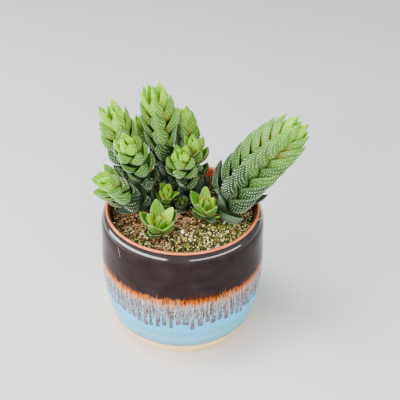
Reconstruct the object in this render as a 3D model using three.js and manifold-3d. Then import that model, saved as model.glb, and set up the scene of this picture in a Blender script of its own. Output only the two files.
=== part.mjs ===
// A clump of haworthia in a plastic nursery pot, standing inside a glazed ceramic pot.
// Millimetres, +Z up. The origin is the centre of the ceramic pot's flat foot.

import * as THREE from "three";
import { mergeVertices } from "three/addons/utils/BufferGeometryUtils.js";
import Module from "manifold-3d";

const wasm = await Module();
wasm.setup();

// Driving dimensions of the two pots

const POT_HEIGHT = 108;
const POT_BELLY_RADIUS = 65.7;
const POT_SHOULDER_RADIUS = 64.2;
const POT_FOOT_RADIUS = 50;
const POT_LIP_INNER_RADIUS = 58.3;
const POT_WALL = 5;
const POT_FLOOR = 6;
const POT_SIDES = 48;

const LINER_RIM_RADIUS = 60;
const LINER_MOUTH_RADIUS = 57.6;
const LINER_FOOT_RADIUS = 43;
const LINER_WALL = 1;
const LINER_RIM_TOP = 109.8;
const LINER_SIDES = 36;
const DRAIN_HOLES = 5;
const DRAIN_HOLE_RADIUS = 4;
const DRAIN_CIRCLE_RADIUS = 28;

// Driving dimensions of the soil and of the plant's fit in it

const SOIL_EDGE_HEIGHT = 102.2;
const SOIL_MOUND = 2.2;
const SOIL_RINGS = 4;
const FIT_GAP = 0.35;
const HOLE_MARGIN = FIT_GAP + 0.1;
const LEAF_TO_SOIL = 0.8;
const LIFTED_BELOW = 4;
const STEM_TO_STEM = 0.5;
const REACH_LIMIT = 1.35;
const UNDISTURBED_SHARE = 0.45;
const ROOM_STEPS = 10;
const ROOT_DEPTH = 15;
const CORE_SIDES = 6;

// Leaves follow one another round a stem by this angle, which lines them up in five rows

const LEAF_TURN = 144.6;

// Each stem: foot (x, y), crown (x, y, z) and bow of its axis, and its leaves from foot to
// crown. A triple gives a value at the foot, in the middle and at the crown. Angles are in
// degrees from the stem's own direction, where a leaf leaves the stem (open) and at its
// point (close). Reach is how far the leaves stand out from the axis. A larger taper makes
// them more pointed.

const STEMS = [
  {
    name: "stem_right", foot: [30, 1], crown: [83.5, -2, 181], bow: [-3, 0, 3],
    core: 5, heart: 10.5, reach: 19.5,
    leaves: 40, length: [30, 31, 25], width: [8.4, 9, 6.6], thick: 7, taper: 1.15,
    open: [60, 58, 22], close: [16, 13, 4], first: 20, spread: 24, colour: 0x5f8f52,
  },
  {
    name: "stem_top", foot: [-10, 32], crown: [-22, 24, 195.5], bow: [1, 0, 0],
    core: 4.4, heart: 7.8, reach: 15,
    leaves: 31, length: [16, 25, 25], width: [6.8, 7.8, 6], thick: 6.2, taper: 1.15,
    open: [58, 56, 32], close: [12, 12, 6], first: 60, spread: 4, colour: 0x5f8c50,
  },
  {
    name: "stem_far_left", foot: [-35, 27], crown: [-52.5, 14, 185], bow: [1, 0, 2],
    core: 4.2, heart: 7.4, reach: 15,
    leaves: 28, length: [18, 22, 25], width: [7.2, 7.8, 6], thick: 6.2, taper: 1.15,
    open: [58, 56, 26], close: [12, 12, 6], first: 10, spread: 10, colour: 0x587f4e,
  },
  {
    name: "stem_front_left", foot: [-25, 13], crown: [-41, -16, 177], bow: [-2, 3, 6],
    core: 3.8, heart: 6.6, reach: 13,
    leaves: 24, length: [17, 20, 16], width: [6.2, 7, 5.4], thick: 5.6, taper: 1.15,
    open: [60, 56, 26], close: [14, 12, 4], first: 100, spread: 10, colour: 0x648f47,
  },
  {
    name: "stem_back_right", foot: [3, 41], crown: [0, 38, 170.5], bow: [2, 1, 2],
    core: 3.6, heart: 6.4, reach: 12.5,
    leaves: 24, length: [13, 21, 18], width: [5.8, 6.6, 5.2], thick: 5.4, taper: 1.15,
    open: [58, 54, 22], close: [10, 8, 2], first: 200, spread: 2, colour: 0x5d8a52,
  },
  {
    name: "stem_mid_right", foot: [10, 28], crown: [7, 20, 157], bow: [1, 0, 3],
    core: 3, heart: 5.4, reach: 11.5,
    leaves: 18, length: [9, 18, 16], width: [5, 5.6, 4.8], thick: 4.6, taper: 1.15,
    open: [45, 58, 30], close: [20, 18, 6], first: 90, spread: 4, colour: 0x72924e,
  },
  {
    name: "stem_centre", foot: [1, 19], crown: [-1.5, 0, 156.5], bow: [0, 3, 5],
    core: 3.4, heart: 5.8, reach: 12,
    leaves: 20, length: [17, 18, 15], width: [5.6, 6.4, 5.6], thick: 5.2, taper: 1.15,
    open: [60, 58, 26], close: [15, 16, 4], first: 50, spread: 10, colour: 0x6d8c45,
  },
  {
    name: "stem_low_left", foot: [-31, 2], crown: [-60, -15, 142], bow: [0, 3, 7],
    core: 3.8, heart: 7, reach: 14.5,
    leaves: 21, length: [18, 21, 17], width: [6.2, 7, 5.4], thick: 5.6, taper: 1.15,
    open: [62, 58, 26], close: [24, 18, 4], first: 140, spread: 24, colour: 0x5c8450,
  },
  {
    name: "stem_back_left", foot: [-33, 38], crown: [-33, 36, 166], bow: [0, 0, 0],
    core: 3, heart: 4.6, reach: 9.5,
    leaves: 15, length: [14, 16, 15], width: [5, 5.6, 4.8], thick: 4.2, taper: 1.15,
    open: [50, 45, 20], close: [6, 6, 2], first: 30, spread: 6, colour: 0x7a9656,
  },
  {
    name: "pup_back", foot: [15, 19], crown: [10.5, 17, 124], bow: [0, 0, 0],
    core: 2.6, heart: 4.3, reach: 8.5,
    leaves: 10, length: [12, 13, 12], width: [5, 5.6, 4.8], thick: 4, taper: 0.8,
    open: [58, 50, 20], close: [24, 14, 2], first: 30, spread: 12, colour: 0x6f7a3f,
  },
  {
    name: "pup_dark", foot: [-1.5, 4], crown: [-0.5, 3, 110.5], bow: [0, 0, 0],
    core: 2.6, heart: 4.3, reach: 10,
    leaves: 9, length: [14, 14, 11], width: [4.8, 5.2, 4.4], thick: 4, taper: 0.8,
    open: [62, 60, 30], close: [52, 34, 10], first: 10, spread: 10, colour: 0x46584a,
  },
  {
    name: "pup_centre", foot: [-13, 8], crown: [-12.8, 2, 121], bow: [0, 0, 1],
    core: 2.6, heart: 4.3, reach: 11,
    leaves: 11, length: [14, 15, 13], width: [4.6, 5.2, 4.6], thick: 4.2, taper: 0.8,
    open: [62, 58, 24], close: [40, 28, 4], first: 70, spread: 12, colour: 0x7e9143,
  },
  {
    name: "pup_right", foot: [17.5, -6], crown: [18, -9, 117], bow: [0, 0, 1],
    core: 2.8, heart: 4.8, reach: 14,
    leaves: 10, length: [17, 20, 19], width: [5.4, 6.4, 5.6], thick: 4.8, taper: 0.8,
    open: [62, 54, 20], close: [38, 20, 2], first: 30, spread: 14, colour: 0x74a040,
  },
  {
    name: "pup_front", foot: [-18, -25], crown: [-17.5, -28, 115], bow: [0, 0, 1],
    core: 2.8, heart: 4.8, reach: 14,
    leaves: 10, length: [16, 20, 19], width: [5.4, 6.4, 5.6], thick: 4.8, taper: 0.8,
    open: [64, 56, 22], close: [42, 22, 2], first: 190, spread: 14, colour: 0x74a040,
  },
];

// Leaf outline and section, shared by every leaf

const OPEN_STATIONS = [0.2, 0.5, 0.8];
const COVERED_STATIONS = [0.2, 0.66];
const COVERED_UP_TO = 0.55;
const DENSE_STEM = 12;
const SKIRT_UP_TO = 0.16;
const SKIRT_OPENS = 0.4;
const LEAF_WRAP = 0.045;
const LEAF_INNER_BULGE = 0.15;
const LEAF_CURL_POWER = 1.6;
const CROWN_SINK = 0.72;
const CROWN_CROWDING = 4;
const CROWN_CLOSING = 3;
const KNEE = 0.45;
const COLLAR_STATION = 0.04;
const HEART_STATIONS = [0.2, 0.5, 0.75, 1];
const BUD_WIDTH = 0.34;
const BUD_RISE = 0.24;
const ROOT_INSET = 0.75;
const ROOT_NARROWING = 0.5;

const UP = new THREE.Vector3(0, 0, 1);
const TOWARDS_FRONT = new THREE.Vector3(0, -1, 0);

const radians = THREE.MathUtils.degToRad;
const mix = THREE.MathUtils.lerp;

/** A triple's value at u, from 0 at the foot to 1 at the crown. */
function along([foot, middle, crown], u) {
  return u < KNEE ? mix(foot, middle, u / KNEE) : mix(middle, crown, (u - KNEE) / (1 - KNEE));
}

/** A triple's value at u, which keeps its middle value until close to the crown. */
function late([foot, middle, crown], u) {
  if (u < KNEE) return mix(foot, middle, u / KNEE);
  return mix(middle, crown, ((u - KNEE) / (1 - KNEE)) ** CROWN_CLOSING);
}

// Solids

/** Signed volume of a triangle list, positive where its faces point outwards. */
function signedVolume(positions, triangles) {
  let sum = 0;
  const corner = [new THREE.Vector3(), new THREE.Vector3(), new THREE.Vector3()];
  for (let i = 0; i < triangles.length; i += 3) {
    corner.forEach((p, k) => p.fromArray(positions, 3 * triangles[i + k]));
    sum += corner[0].dot(corner[1].clone().cross(corner[2])) / 6;
  }
  return sum;
}

/** A closed triangle list as a solid, turned inside out first if its faces point inwards. */
function solidFromTriangles(positions, triangles) {
  const outward = [...triangles];
  if (signedVolume(positions, outward) < 0) outward.reverse();
  return new wasm.Manifold(
    new wasm.Mesh({
      numProp: 3,
      vertProperties: Float32Array.from(positions),
      triVerts: Uint32Array.from(outward),
    }),
  );
}

/** A three.js geometry as a solid. */
function solidFromGeometry(geometry) {
  const bare = geometry.clone();
  bare.deleteAttribute("normal");
  bare.deleteAttribute("uv");
  const merged = mergeVertices(bare, 1e-4);
  const index = Array.from(merged.index.array);
  const kept = [];
  for (let i = 0; i < index.length; i += 3) {
    const [a, b, c] = index.slice(i, i + 3);
    if (a !== b && b !== c && c !== a) kept.push(a, b, c);
  }
  return solidFromTriangles(Array.from(merged.attributes.position.array), kept);
}

/** The solid's largest body, without loose scraps, and with sealed hollows filled. */
function mainBody(solid) {
  return solid.decompose().reduce((best, body) => (body.volume() > best.volume() ? body : best));
}

function geometryFromSolid(solid) {
  const mesh = solid.getMesh();
  const geometry = new THREE.BufferGeometry();
  const positions = Float32Array.from(mesh.vertProperties);
  geometry.setAttribute("position", new THREE.BufferAttribute(positions, 3));
  geometry.setIndex(Array.from(mesh.triVerts));
  geometry.computeVertexNormals();
  return geometry;
}

/** A solid of revolution from (radius, height) points that start and end on the axis. */
function turned(profile, sides) {
  const points = profile.map(([radius, height]) => new THREE.Vector2(radius, height));
  return new THREE.LatheGeometry(points, sides).rotateX(Math.PI / 2);
}

/** A solid through rings of equal count, closed by a fan at the start and at the end or apex. */
function loft(rings, apex) {
  const count = rings[0].length;
  const positions = rings.flat().flatMap((p) => p.toArray());
  const triangles = [];
  const at = (ring, k) => ring * count + (k % count);
  for (let ring = 0; ring + 1 < rings.length; ring += 1) {
    for (let k = 0; k < count; k += 1) {
      triangles.push(at(ring, k), at(ring, k + 1), at(ring + 1, k + 1));
      triangles.push(at(ring, k), at(ring + 1, k + 1), at(ring + 1, k));
    }
  }
  for (let k = 1; k + 1 < count; k += 1) triangles.push(at(0, 0), at(0, k + 1), at(0, k));
  const last = rings.length - 1;
  if (apex) {
    positions.push(...apex.toArray());
    const tip = rings.length * count;
    for (let k = 0; k < count; k += 1) triangles.push(at(last, k), at(last, k + 1), tip);
  } else {
    for (let k = 1; k + 1 < count; k += 1) triangles.push(at(last, 0), at(last, k), at(last, k + 1));
  }
  return solidFromTriangles(positions, triangles);
}

/** A named mesh with its own material. */
function part(name, geometry, colour, roughness, metalness = 0) {
  const material = new THREE.MeshStandardMaterial({ color: colour, roughness, metalness });
  const mesh = new THREE.Mesh(geometry, material);
  mesh.name = name;
  return mesh;
}

// Ceramic pot: a straight-sided drum with a soft belly, a rounded lip and a rounded foot

function ceramicPot() {
  const profile = [
    [0, 0],
    [POT_FOOT_RADIUS, 0],
    [POT_FOOT_RADIUS + 2.6, 0.9],
    [POT_FOOT_RADIUS + 5.8, 5],
    [POT_FOOT_RADIUS + 10.4, 13.5],
    [POT_BELLY_RADIUS - 2.6, 26],
    [POT_BELLY_RADIUS - 0.6, 42],
    [POT_BELLY_RADIUS, 60],
    [POT_SHOULDER_RADIUS, 86],
    [POT_SHOULDER_RADIUS - 0.8, 100],
    [POT_SHOULDER_RADIUS - 1.5, 104.6],
    [POT_SHOULDER_RADIUS - 2.6, 107.2],
    [POT_SHOULDER_RADIUS - 4, POT_HEIGHT],
    [POT_LIP_INNER_RADIUS + 0.6, POT_HEIGHT],
    [POT_LIP_INNER_RADIUS, 106.6],
    [POT_SHOULDER_RADIUS - POT_WALL, 86],
    [POT_BELLY_RADIUS - POT_WALL, 56],
    [POT_BELLY_RADIUS - 2.6 - POT_WALL, 27],
    [POT_FOOT_RADIUS + 3, 13],
    [POT_FOOT_RADIUS - 2.5, POT_FLOOR + 1.2],
    [POT_FOOT_RADIUS - 5, POT_FLOOR],
    [0, POT_FLOOR],
  ];
  return part("ceramic_pot", turned(profile, POT_SIDES), 0x3a2a26, 0.22);
}

// Nursery pot: thin tapered plastic, hung by its rolled rim on the ceramic lip

function nurseryPot() {
  const rimUnder = POT_HEIGHT + 0.3;
  const floorUnder = POT_FLOOR + 0.3;
  const bore = LINER_MOUTH_RADIUS - LINER_WALL;
  const profile = [
    [0, floorUnder],
    [LINER_FOOT_RADIUS, floorUnder],
    [LINER_MOUTH_RADIUS, rimUnder],
    [LINER_RIM_RADIUS - 0.3, rimUnder],
    [LINER_RIM_RADIUS, rimUnder + 0.6],
    [LINER_RIM_RADIUS - 0.4, LINER_RIM_TOP - 0.3],
    [LINER_RIM_RADIUS - 1.3, LINER_RIM_TOP],
    [LINER_RIM_RADIUS - 2.4, LINER_RIM_TOP - 0.3],
    [bore, rimUnder],
    [LINER_FOOT_RADIUS - LINER_WALL, floorUnder + LINER_WALL],
    [0, floorUnder + LINER_WALL],
  ];
  let solid = solidFromGeometry(turned(profile, LINER_SIDES));
  for (let k = 0; k < DRAIN_HOLES; k += 1) {
    const angle = (2 * Math.PI * k) / DRAIN_HOLES;
    const hole = new THREE.CylinderGeometry(DRAIN_HOLE_RADIUS, DRAIN_HOLE_RADIUS, 4 * LINER_WALL, 10)
      .rotateX(Math.PI / 2)
      .translate(DRAIN_CIRCLE_RADIUS * Math.cos(angle), DRAIN_CIRCLE_RADIUS * Math.sin(angle), floorUnder);
    solid = solid.subtract(solidFromGeometry(hole));
  }
  return part("nursery_pot", geometryFromSolid(solid), 0xc8623c, 0.45);
}

// Soil: filled to just under the rim, low mound in the middle and a hollow at the back left

function soilHeight(x, y) {
  const radius = Math.hypot(x, y) / LINER_MOUTH_RADIUS;
  const mound = SOIL_MOUND * Math.max(0, 1 - radius * radius);
  const hollow = 3.2 * Math.exp(-(((x + 20) ** 2 + (y - 52) ** 2) / 160));
  const waves = 0.5 * Math.sin(0.21 * x + 1.3) * Math.cos(0.17 * y - 0.4);
  return SOIL_EDGE_HEIGHT + mound - hollow + waves;
}

/** Height that leaves stay above: the soil, and past it the liner's rim. */
function groundHeight(x, y) {
  const radius = Math.hypot(x, y);
  const overRim = THREE.MathUtils.smoothstep(radius, LINER_MOUTH_RADIUS - 7, LINER_MOUTH_RADIUS - 2.5);
  return mix(soilHeight(x, y), LINER_RIM_TOP, overRim);
}

function soil(stems) {
  const top = SOIL_EDGE_HEIGHT;
  const floor = POT_FLOOR + 0.3 + LINER_WALL + 0.3;
  const slope = (LINER_MOUTH_RADIUS - LINER_FOOT_RADIUS) / (POT_HEIGHT - POT_FLOOR);
  const edge = LINER_MOUTH_RADIUS - LINER_WALL - HOLE_MARGIN - slope * (POT_HEIGHT - top);
  const profile = [[0, floor], [LINER_FOOT_RADIUS - LINER_WALL - HOLE_MARGIN, floor]];
  for (let ring = SOIL_RINGS; ring > 0; ring -= 1) profile.push([(edge * ring) / SOIL_RINGS, top]);
  profile.push([0, top]);
  const geometry = turned(profile, LINER_SIDES);
  const position = geometry.attributes.position;
  for (let k = 0; k < position.count; k += 1) {
    if (position.getZ(k) < top - 1) continue;
    const height = soilHeight(position.getX(k), position.getY(k));
    const narrowing = 1 + (slope * (height - top)) / edge;
    position.setXYZ(k, position.getX(k) * narrowing, position.getY(k) * narrowing, height);
  }
  let solid = solidFromGeometry(geometry);
  for (const stem of stems) {
    const [deep, mouth] = rootRings(stem, HOLE_MARGIN);
    const above = mouth.map((corner) => corner.clone().addScaledVector(UP, 3));
    solid = solid.subtract(loft([deep, mouth, above]));
  }
  return part("soil", geometryFromSolid(mainBody(solid)), 0x8a6f4d, 0.95);
}

// Stems: a slim tapering axis, rooted in the soil

/** A stem's numbers with its axis as a curve and as a short run of points. */
function planted(spec) {
  const [x, y] = spec.foot;
  const foot = new THREE.Vector3(x, y, soilHeight(x, y) + 0.4);
  const crown = new THREE.Vector3(...spec.crown);
  const middle = foot.clone().add(crown).multiplyScalar(0.5).add(new THREE.Vector3(...spec.bow));
  const axis = new THREE.QuadraticBezierCurve3(foot, middle, crown);
  return { ...spec, axis, spine: axis.getPoints(6) };
}

/** Two directions square to a stem's own: the first one turned as far to the front as it goes. */
function across(direction) {
  const along = TOWARDS_FRONT.dot(direction);
  const first = TOWARDS_FRONT.clone().addScaledVector(direction, -along).normalize();
  return [first, direction.clone().cross(first)];
}

function coreRadius(stem, t) {
  return stem.core * (1 - 0.75 * t ** 3);
}

/** Radius of the solid heart that the leaves stand out of, hidden behind their visible halves. */
function heartRadius(stem, t) {
  return stem.heart * Math.max(1 - 0.85 * t ** 3, BUD_WIDTH);
}

/** Six corners round a centre, in the plane square to a direction. */
function ring(centre, direction, radius) {
  const [first, second] = across(direction);
  return Array.from({ length: CORE_SIDES }, (_, k) => {
    const angle = (2 * Math.PI * k) / CORE_SIDES;
    return centre
      .clone()
      .addScaledVector(first, radius * Math.cos(angle))
      .addScaledVector(second, radius * Math.sin(angle));
  });
}

/** The root's rings, from its end up to the soil, each larger by a margin. */
function rootRings(stem, margin) {
  const foot = stem.axis.getPoint(0);
  const deep = foot.clone().addScaledVector(UP, -ROOT_DEPTH - margin);
  return [ring(deep, UP, 0.5 * stem.core + margin), ring(foot, UP, 0.95 * stem.core + margin)];
}

/** The rooted stem that the leaves stand out of, with a bud at its crown. */
function stemBody(stem) {
  const rings = rootRings(stem, 0);
  rings.push(ring(stem.axis.getPoint(COLLAR_STATION), UP, stem.heart));
  for (const t of HEART_STATIONS) {
    rings.push(ring(stem.axis.getPoint(t), stem.axis.getTangent(t), heartRadius(stem, t)));
  }
  const rise = BUD_RISE * stem.length[2];
  const bud = stem.axis.getPoint(1).addScaledVector(stem.axis.getTangent(1), rise);
  return loft(rings, bud);
}

// Room between stems: a leaf that would reach a neighbour is drawn in towards its own stem

/** The point of a stem's axis nearest to a place. */
function nearestOnAxis(stem, place) {
  const segment = new THREE.Line3();
  const candidate = new THREE.Vector3();
  let best = stem.spine[0];
  let distance = Infinity;
  for (let k = 0; k + 1 < stem.spine.length; k += 1) {
    segment.set(stem.spine[k], stem.spine[k + 1]).closestPointToPoint(place, true, candidate);
    const here = candidate.distanceTo(place);
    if (here < distance) {
      distance = here;
      best = candidate.clone();
    }
  }
  return best;
}

/** How far out from the axis a stem's leaf may go here before a neighbour's share begins. */
function roomTowards(stem, start, direction, limit, others) {
  let room = Infinity;
  for (const other of others) {
    let before = -1;
    for (let k = 0; k <= ROOM_STEPS; k += 1) {
      const out = (limit * k) / ROOM_STEPS;
      const place = start.clone().addScaledVector(direction, out);
      const excess = out / stem.reach - nearestOnAxis(other, place).distanceTo(place) / other.reach;
      if (excess > 0) {
        room = Math.min(room, (limit * (k - excess / (excess - before))) / ROOM_STEPS);
        break;
      }
      before = excess;
    }
  }
  return room - STEM_TO_STEM;
}

/** A leaf point drawn in clear of the neighbouring stems and lifted clear of the ground. */
function settled(stem, point, others) {
  const start = nearestOnAxis(stem, point);
  const offset = point.clone().sub(start);
  const out = offset.length();
  const result = point.clone();
  const limit = REACH_LIMIT * stem.reach;
  if (out > 0.5 * stem.core) {
    const direction = offset.divideScalar(out);
    const room = roomTowards(stem, start, direction, limit, others);
    if (room < limit) {
      const free = UNDISTURBED_SHARE * room;
      const drawn = out < free ? out : free + ((out - free) * (room - free)) / (limit - free);
      result.copy(start).addScaledVector(direction, Math.min(drawn, out));
    }
  }
  const ground = groundHeight(result.x, result.y);
  const over = result.z - ground;
  if (over < LIFTED_BELOW) {
    const span = LIFTED_BELOW - LEAF_TO_SOIL;
    result.z = ground + LEAF_TO_SOIL + span * Math.exp((over - LIFTED_BELOW) / span);
  }
  return result;
}

// Leaves: pointed, keeled on the back, hollow on the inner face, curling up to their points

/** Stations along a leaf's centre line: distance out from the axis, height up it, and lean. */
function leafCurve(length, open, close, start) {
  const steps = 24;
  const lean = (s) => radians(close + (open - close) * (1 - s) ** LEAF_CURL_POWER);
  const walked = [{ out: start, up: 0 }];
  for (let k = 0; k < steps; k += 1) {
    const angle = lean((k + 0.5) / steps);
    const from = walked[k];
    walked.push({
      out: from.out + (Math.sin(angle) * length) / steps,
      up: from.up + (Math.cos(angle) * length) / steps,
    });
  }
  return (s) => ({ ...walked[Math.round(s * steps)], lean: lean(s) });
}

function leafHalfWidth(width, taper, s) {
  return width * (1 - s ** 2.2) ** taper * (0.78 + 0.9 * s - 0.55 * s * s);
}

function leafThickness(thick, s) {
  return thick * (1 - s ** 2.6) ** 0.9 * (0.8 + 0.6 * s * (1 - s));
}

/** Leaf number i of a stem: four-cornered sections from its root in the stem to its point. */
function leaf(stem, i, others) {
  const u = i / (stem.leaves - 1);
  const direction = stem.axis.getTangent(u);
  const [first, second] = across(direction);
  const turn = radians(stem.first + i * LEAF_TURN);
  const outward = first.multiplyScalar(Math.cos(turn)).addScaledVector(second, Math.sin(turn));
  const sideways = direction.clone().cross(outward);
  const length = along(stem.length, u);
  const width = along(stem.width, u);
  const skirt = stem.spread * Math.max(0, 1 - u / SKIRT_UP_TO);
  const open = late(stem.open, u) + SKIRT_OPENS * skirt;
  const curve = leafCurve(length, open, late(stem.close, u) + skirt, coreRadius(stem, u));
  const sink = CROWN_SINK * length * u ** CROWN_CROWDING;
  const root = stem.axis.getPoint(u).addScaledVector(direction, -sink);
  const section = (s) => {
    const { out, up, lean } = curve(s);
    const atRoot = s === OPEN_STATIONS[0];
    const inset = atRoot ? ROOT_INSET : 1;
    const centre = root.clone().addScaledVector(outward, out * inset).addScaledVector(direction, up);
    const back = outward.clone().multiplyScalar(Math.cos(lean)).addScaledVector(direction, -Math.sin(lean));
    const half = (atRoot ? ROOT_NARROWING : 1) * leafHalfWidth(width, stem.taper, s);
    const thickness = leafThickness(stem.thick, s);
    const wrap = -LEAF_WRAP * half * half;
    const bulge = -LEAF_INNER_BULGE * thickness;
    const corners = [[-half, wrap], [0, thickness], [half, wrap], [0, bulge]];
    return corners.map(([side, behind]) =>
      settled(stem, centre.clone().addScaledVector(sideways, side).addScaledVector(back, behind), others),
    );
  };
  const tip = curve(1);
  const point = root.clone().addScaledVector(outward, tip.out).addScaledVector(direction, tip.up);
  const covered = stem.leaves > DENSE_STEM && u < COVERED_UP_TO;
  const stations = covered ? COVERED_STATIONS : OPEN_STATIONS;
  return loft(stations.map(section), settled(stem, point, others));
}

function leafyStem(stem, stems) {
  const others = stems.filter((other) => other !== stem);
  let solid = stemBody(stem);
  for (let i = 0; i < stem.leaves; i += 1) solid = solid.add(leaf(stem, i, others));
  return part(stem.name, geometryFromSolid(mainBody(solid)), stem.colour, 0.5);
}

// The whole plant in its pots

const stems = STEMS.map(planted);
const pottedHaworthia = new THREE.Group();
pottedHaworthia.name = "potted_haworthia";
pottedHaworthia.add(ceramicPot(), nurseryPot(), soil(stems));
for (const stem of stems) pottedHaworthia.add(leafyStem(stem, stems));

export default pottedHaworthia;
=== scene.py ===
"""A clump of haworthia in a plastic nursery pot, standing inside a glazed ceramic pot.

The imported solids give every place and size. Here each one gets its fine surface: leaves with
rows of white tubercles, gritty soil, a rolled plastic rim and a glaze that runs down in drips.
Lengths are millimetres until a mesh is made, which is in metres.
"""

import logging
import math
from dataclasses import dataclass, field
from enum import Enum
from functools import partial
from itertools import combinations
from typing import Any, ClassVar, Iterable, Sequence

import bpy
import numpy as np
from mathutils import Matrix, Vector


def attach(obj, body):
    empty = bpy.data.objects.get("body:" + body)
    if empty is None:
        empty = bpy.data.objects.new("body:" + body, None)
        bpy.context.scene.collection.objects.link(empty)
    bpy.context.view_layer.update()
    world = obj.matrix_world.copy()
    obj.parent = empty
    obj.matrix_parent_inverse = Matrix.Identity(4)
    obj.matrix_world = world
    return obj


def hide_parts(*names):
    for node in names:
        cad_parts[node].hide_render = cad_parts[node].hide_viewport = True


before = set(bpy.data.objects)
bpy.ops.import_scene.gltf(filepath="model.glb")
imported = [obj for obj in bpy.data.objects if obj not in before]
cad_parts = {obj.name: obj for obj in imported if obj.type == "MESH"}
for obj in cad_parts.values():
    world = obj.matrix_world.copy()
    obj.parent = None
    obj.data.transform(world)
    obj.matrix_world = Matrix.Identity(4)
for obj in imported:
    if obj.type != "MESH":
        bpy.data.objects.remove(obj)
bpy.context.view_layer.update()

log = logging.getLogger("potted_haworthia")

MM = 0.001
BODY = "root"

Triple = tuple[float, float, float]
Colour = tuple[float, float, float, float]


# Colours and shader tools


def rgb(red: int, green: int, blue: int) -> Colour:
    """Turns a screen colour into the linear colour that shaders take.

    Args:
        red: the red channel, from 0 to 255.
        green: the green one.
        blue: the blue one.

    Returns:
        The linear channels, from 0 to 1, and an alpha of 1.
    """
    parts = (level / 255 for level in (red, green, blue))
    linear = (part / 12.92 if part <= 0.04045 else ((part + 0.055) / 1.055) ** 2.4 for part in parts)
    return (*linear, 1.0)


@dataclass(frozen=True)
class Amount:
    """A number that varies over a surface: a socket whose arithmetic adds Math nodes."""

    recipe: "Recipe"
    socket: bpy.types.NodeSocket

    def _math(self, operation: str, first: Any, second: Any) -> "Amount":
        """Adds one Math node.

        Args:
            operation: Blender's name of the operation.
            first: the first number or Amount.
            second: the second number or Amount.

        Returns:
            The node's result.
        """
        node = self.recipe.node("ShaderNodeMath", {"operation": operation}, {0: first, 1: second})
        return Amount(self.recipe, node.outputs[0])

    def __add__(self, other: Any) -> "Amount":
        """This plus other."""
        return self._math("ADD", self, other)

    __radd__ = __add__

    def __sub__(self, other: Any) -> "Amount":
        """This minus other."""
        return self._math("SUBTRACT", self, other)

    def __rsub__(self, other: Any) -> "Amount":
        """Other minus this."""
        return self._math("SUBTRACT", other, self)

    def __mul__(self, other: Any) -> "Amount":
        """This times other."""
        return self._math("MULTIPLY", self, other)

    __rmul__ = __mul__

    def sine(self) -> "Amount":
        """The sine of this, in radians."""
        return self._math("SINE", self, 0.0)

    def size(self) -> "Amount":
        """This without its sign."""
        return self._math("ABSOLUTE", self, 0.0)

    def root(self) -> "Amount":
        """The square root of this."""
        return self._math("SQRT", self, 0.0)

    def whole(self) -> "Amount":
        """The largest whole number that isn't above this."""
        return self._math("FLOOR", self, 0.0)

    def larger(self, other: Any) -> "Amount":
        """The larger of this and other."""
        return self._math("MAXIMUM", self, other)

    def angle_from(self, other: Any) -> "Amount":
        """The angle, in radians, whose sine goes with this and whose cosine with other."""
        return self._math("ARCTAN2", self, other)

    def rising(self, low: float, high: float) -> "Amount":
        """A smooth step from 0 where this is at low to 1 where it is at high.

        Args:
            low: where the step starts.
            high: where it ends; below low, the step falls instead.

        Returns:
            The step, from 0 to 1.
        """
        ends = (0.0, 1.0) if low < high else (1.0, 0.0)
        node = self.recipe.node(
            "ShaderNodeMapRange",
            {"interpolation_type": "SMOOTHSTEP"},
            {0: self, 1: min(low, high), 2: max(low, high), 3: ends[0], 4: ends[1]},
        )
        return Amount(self.recipe, node.outputs[0])


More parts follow.
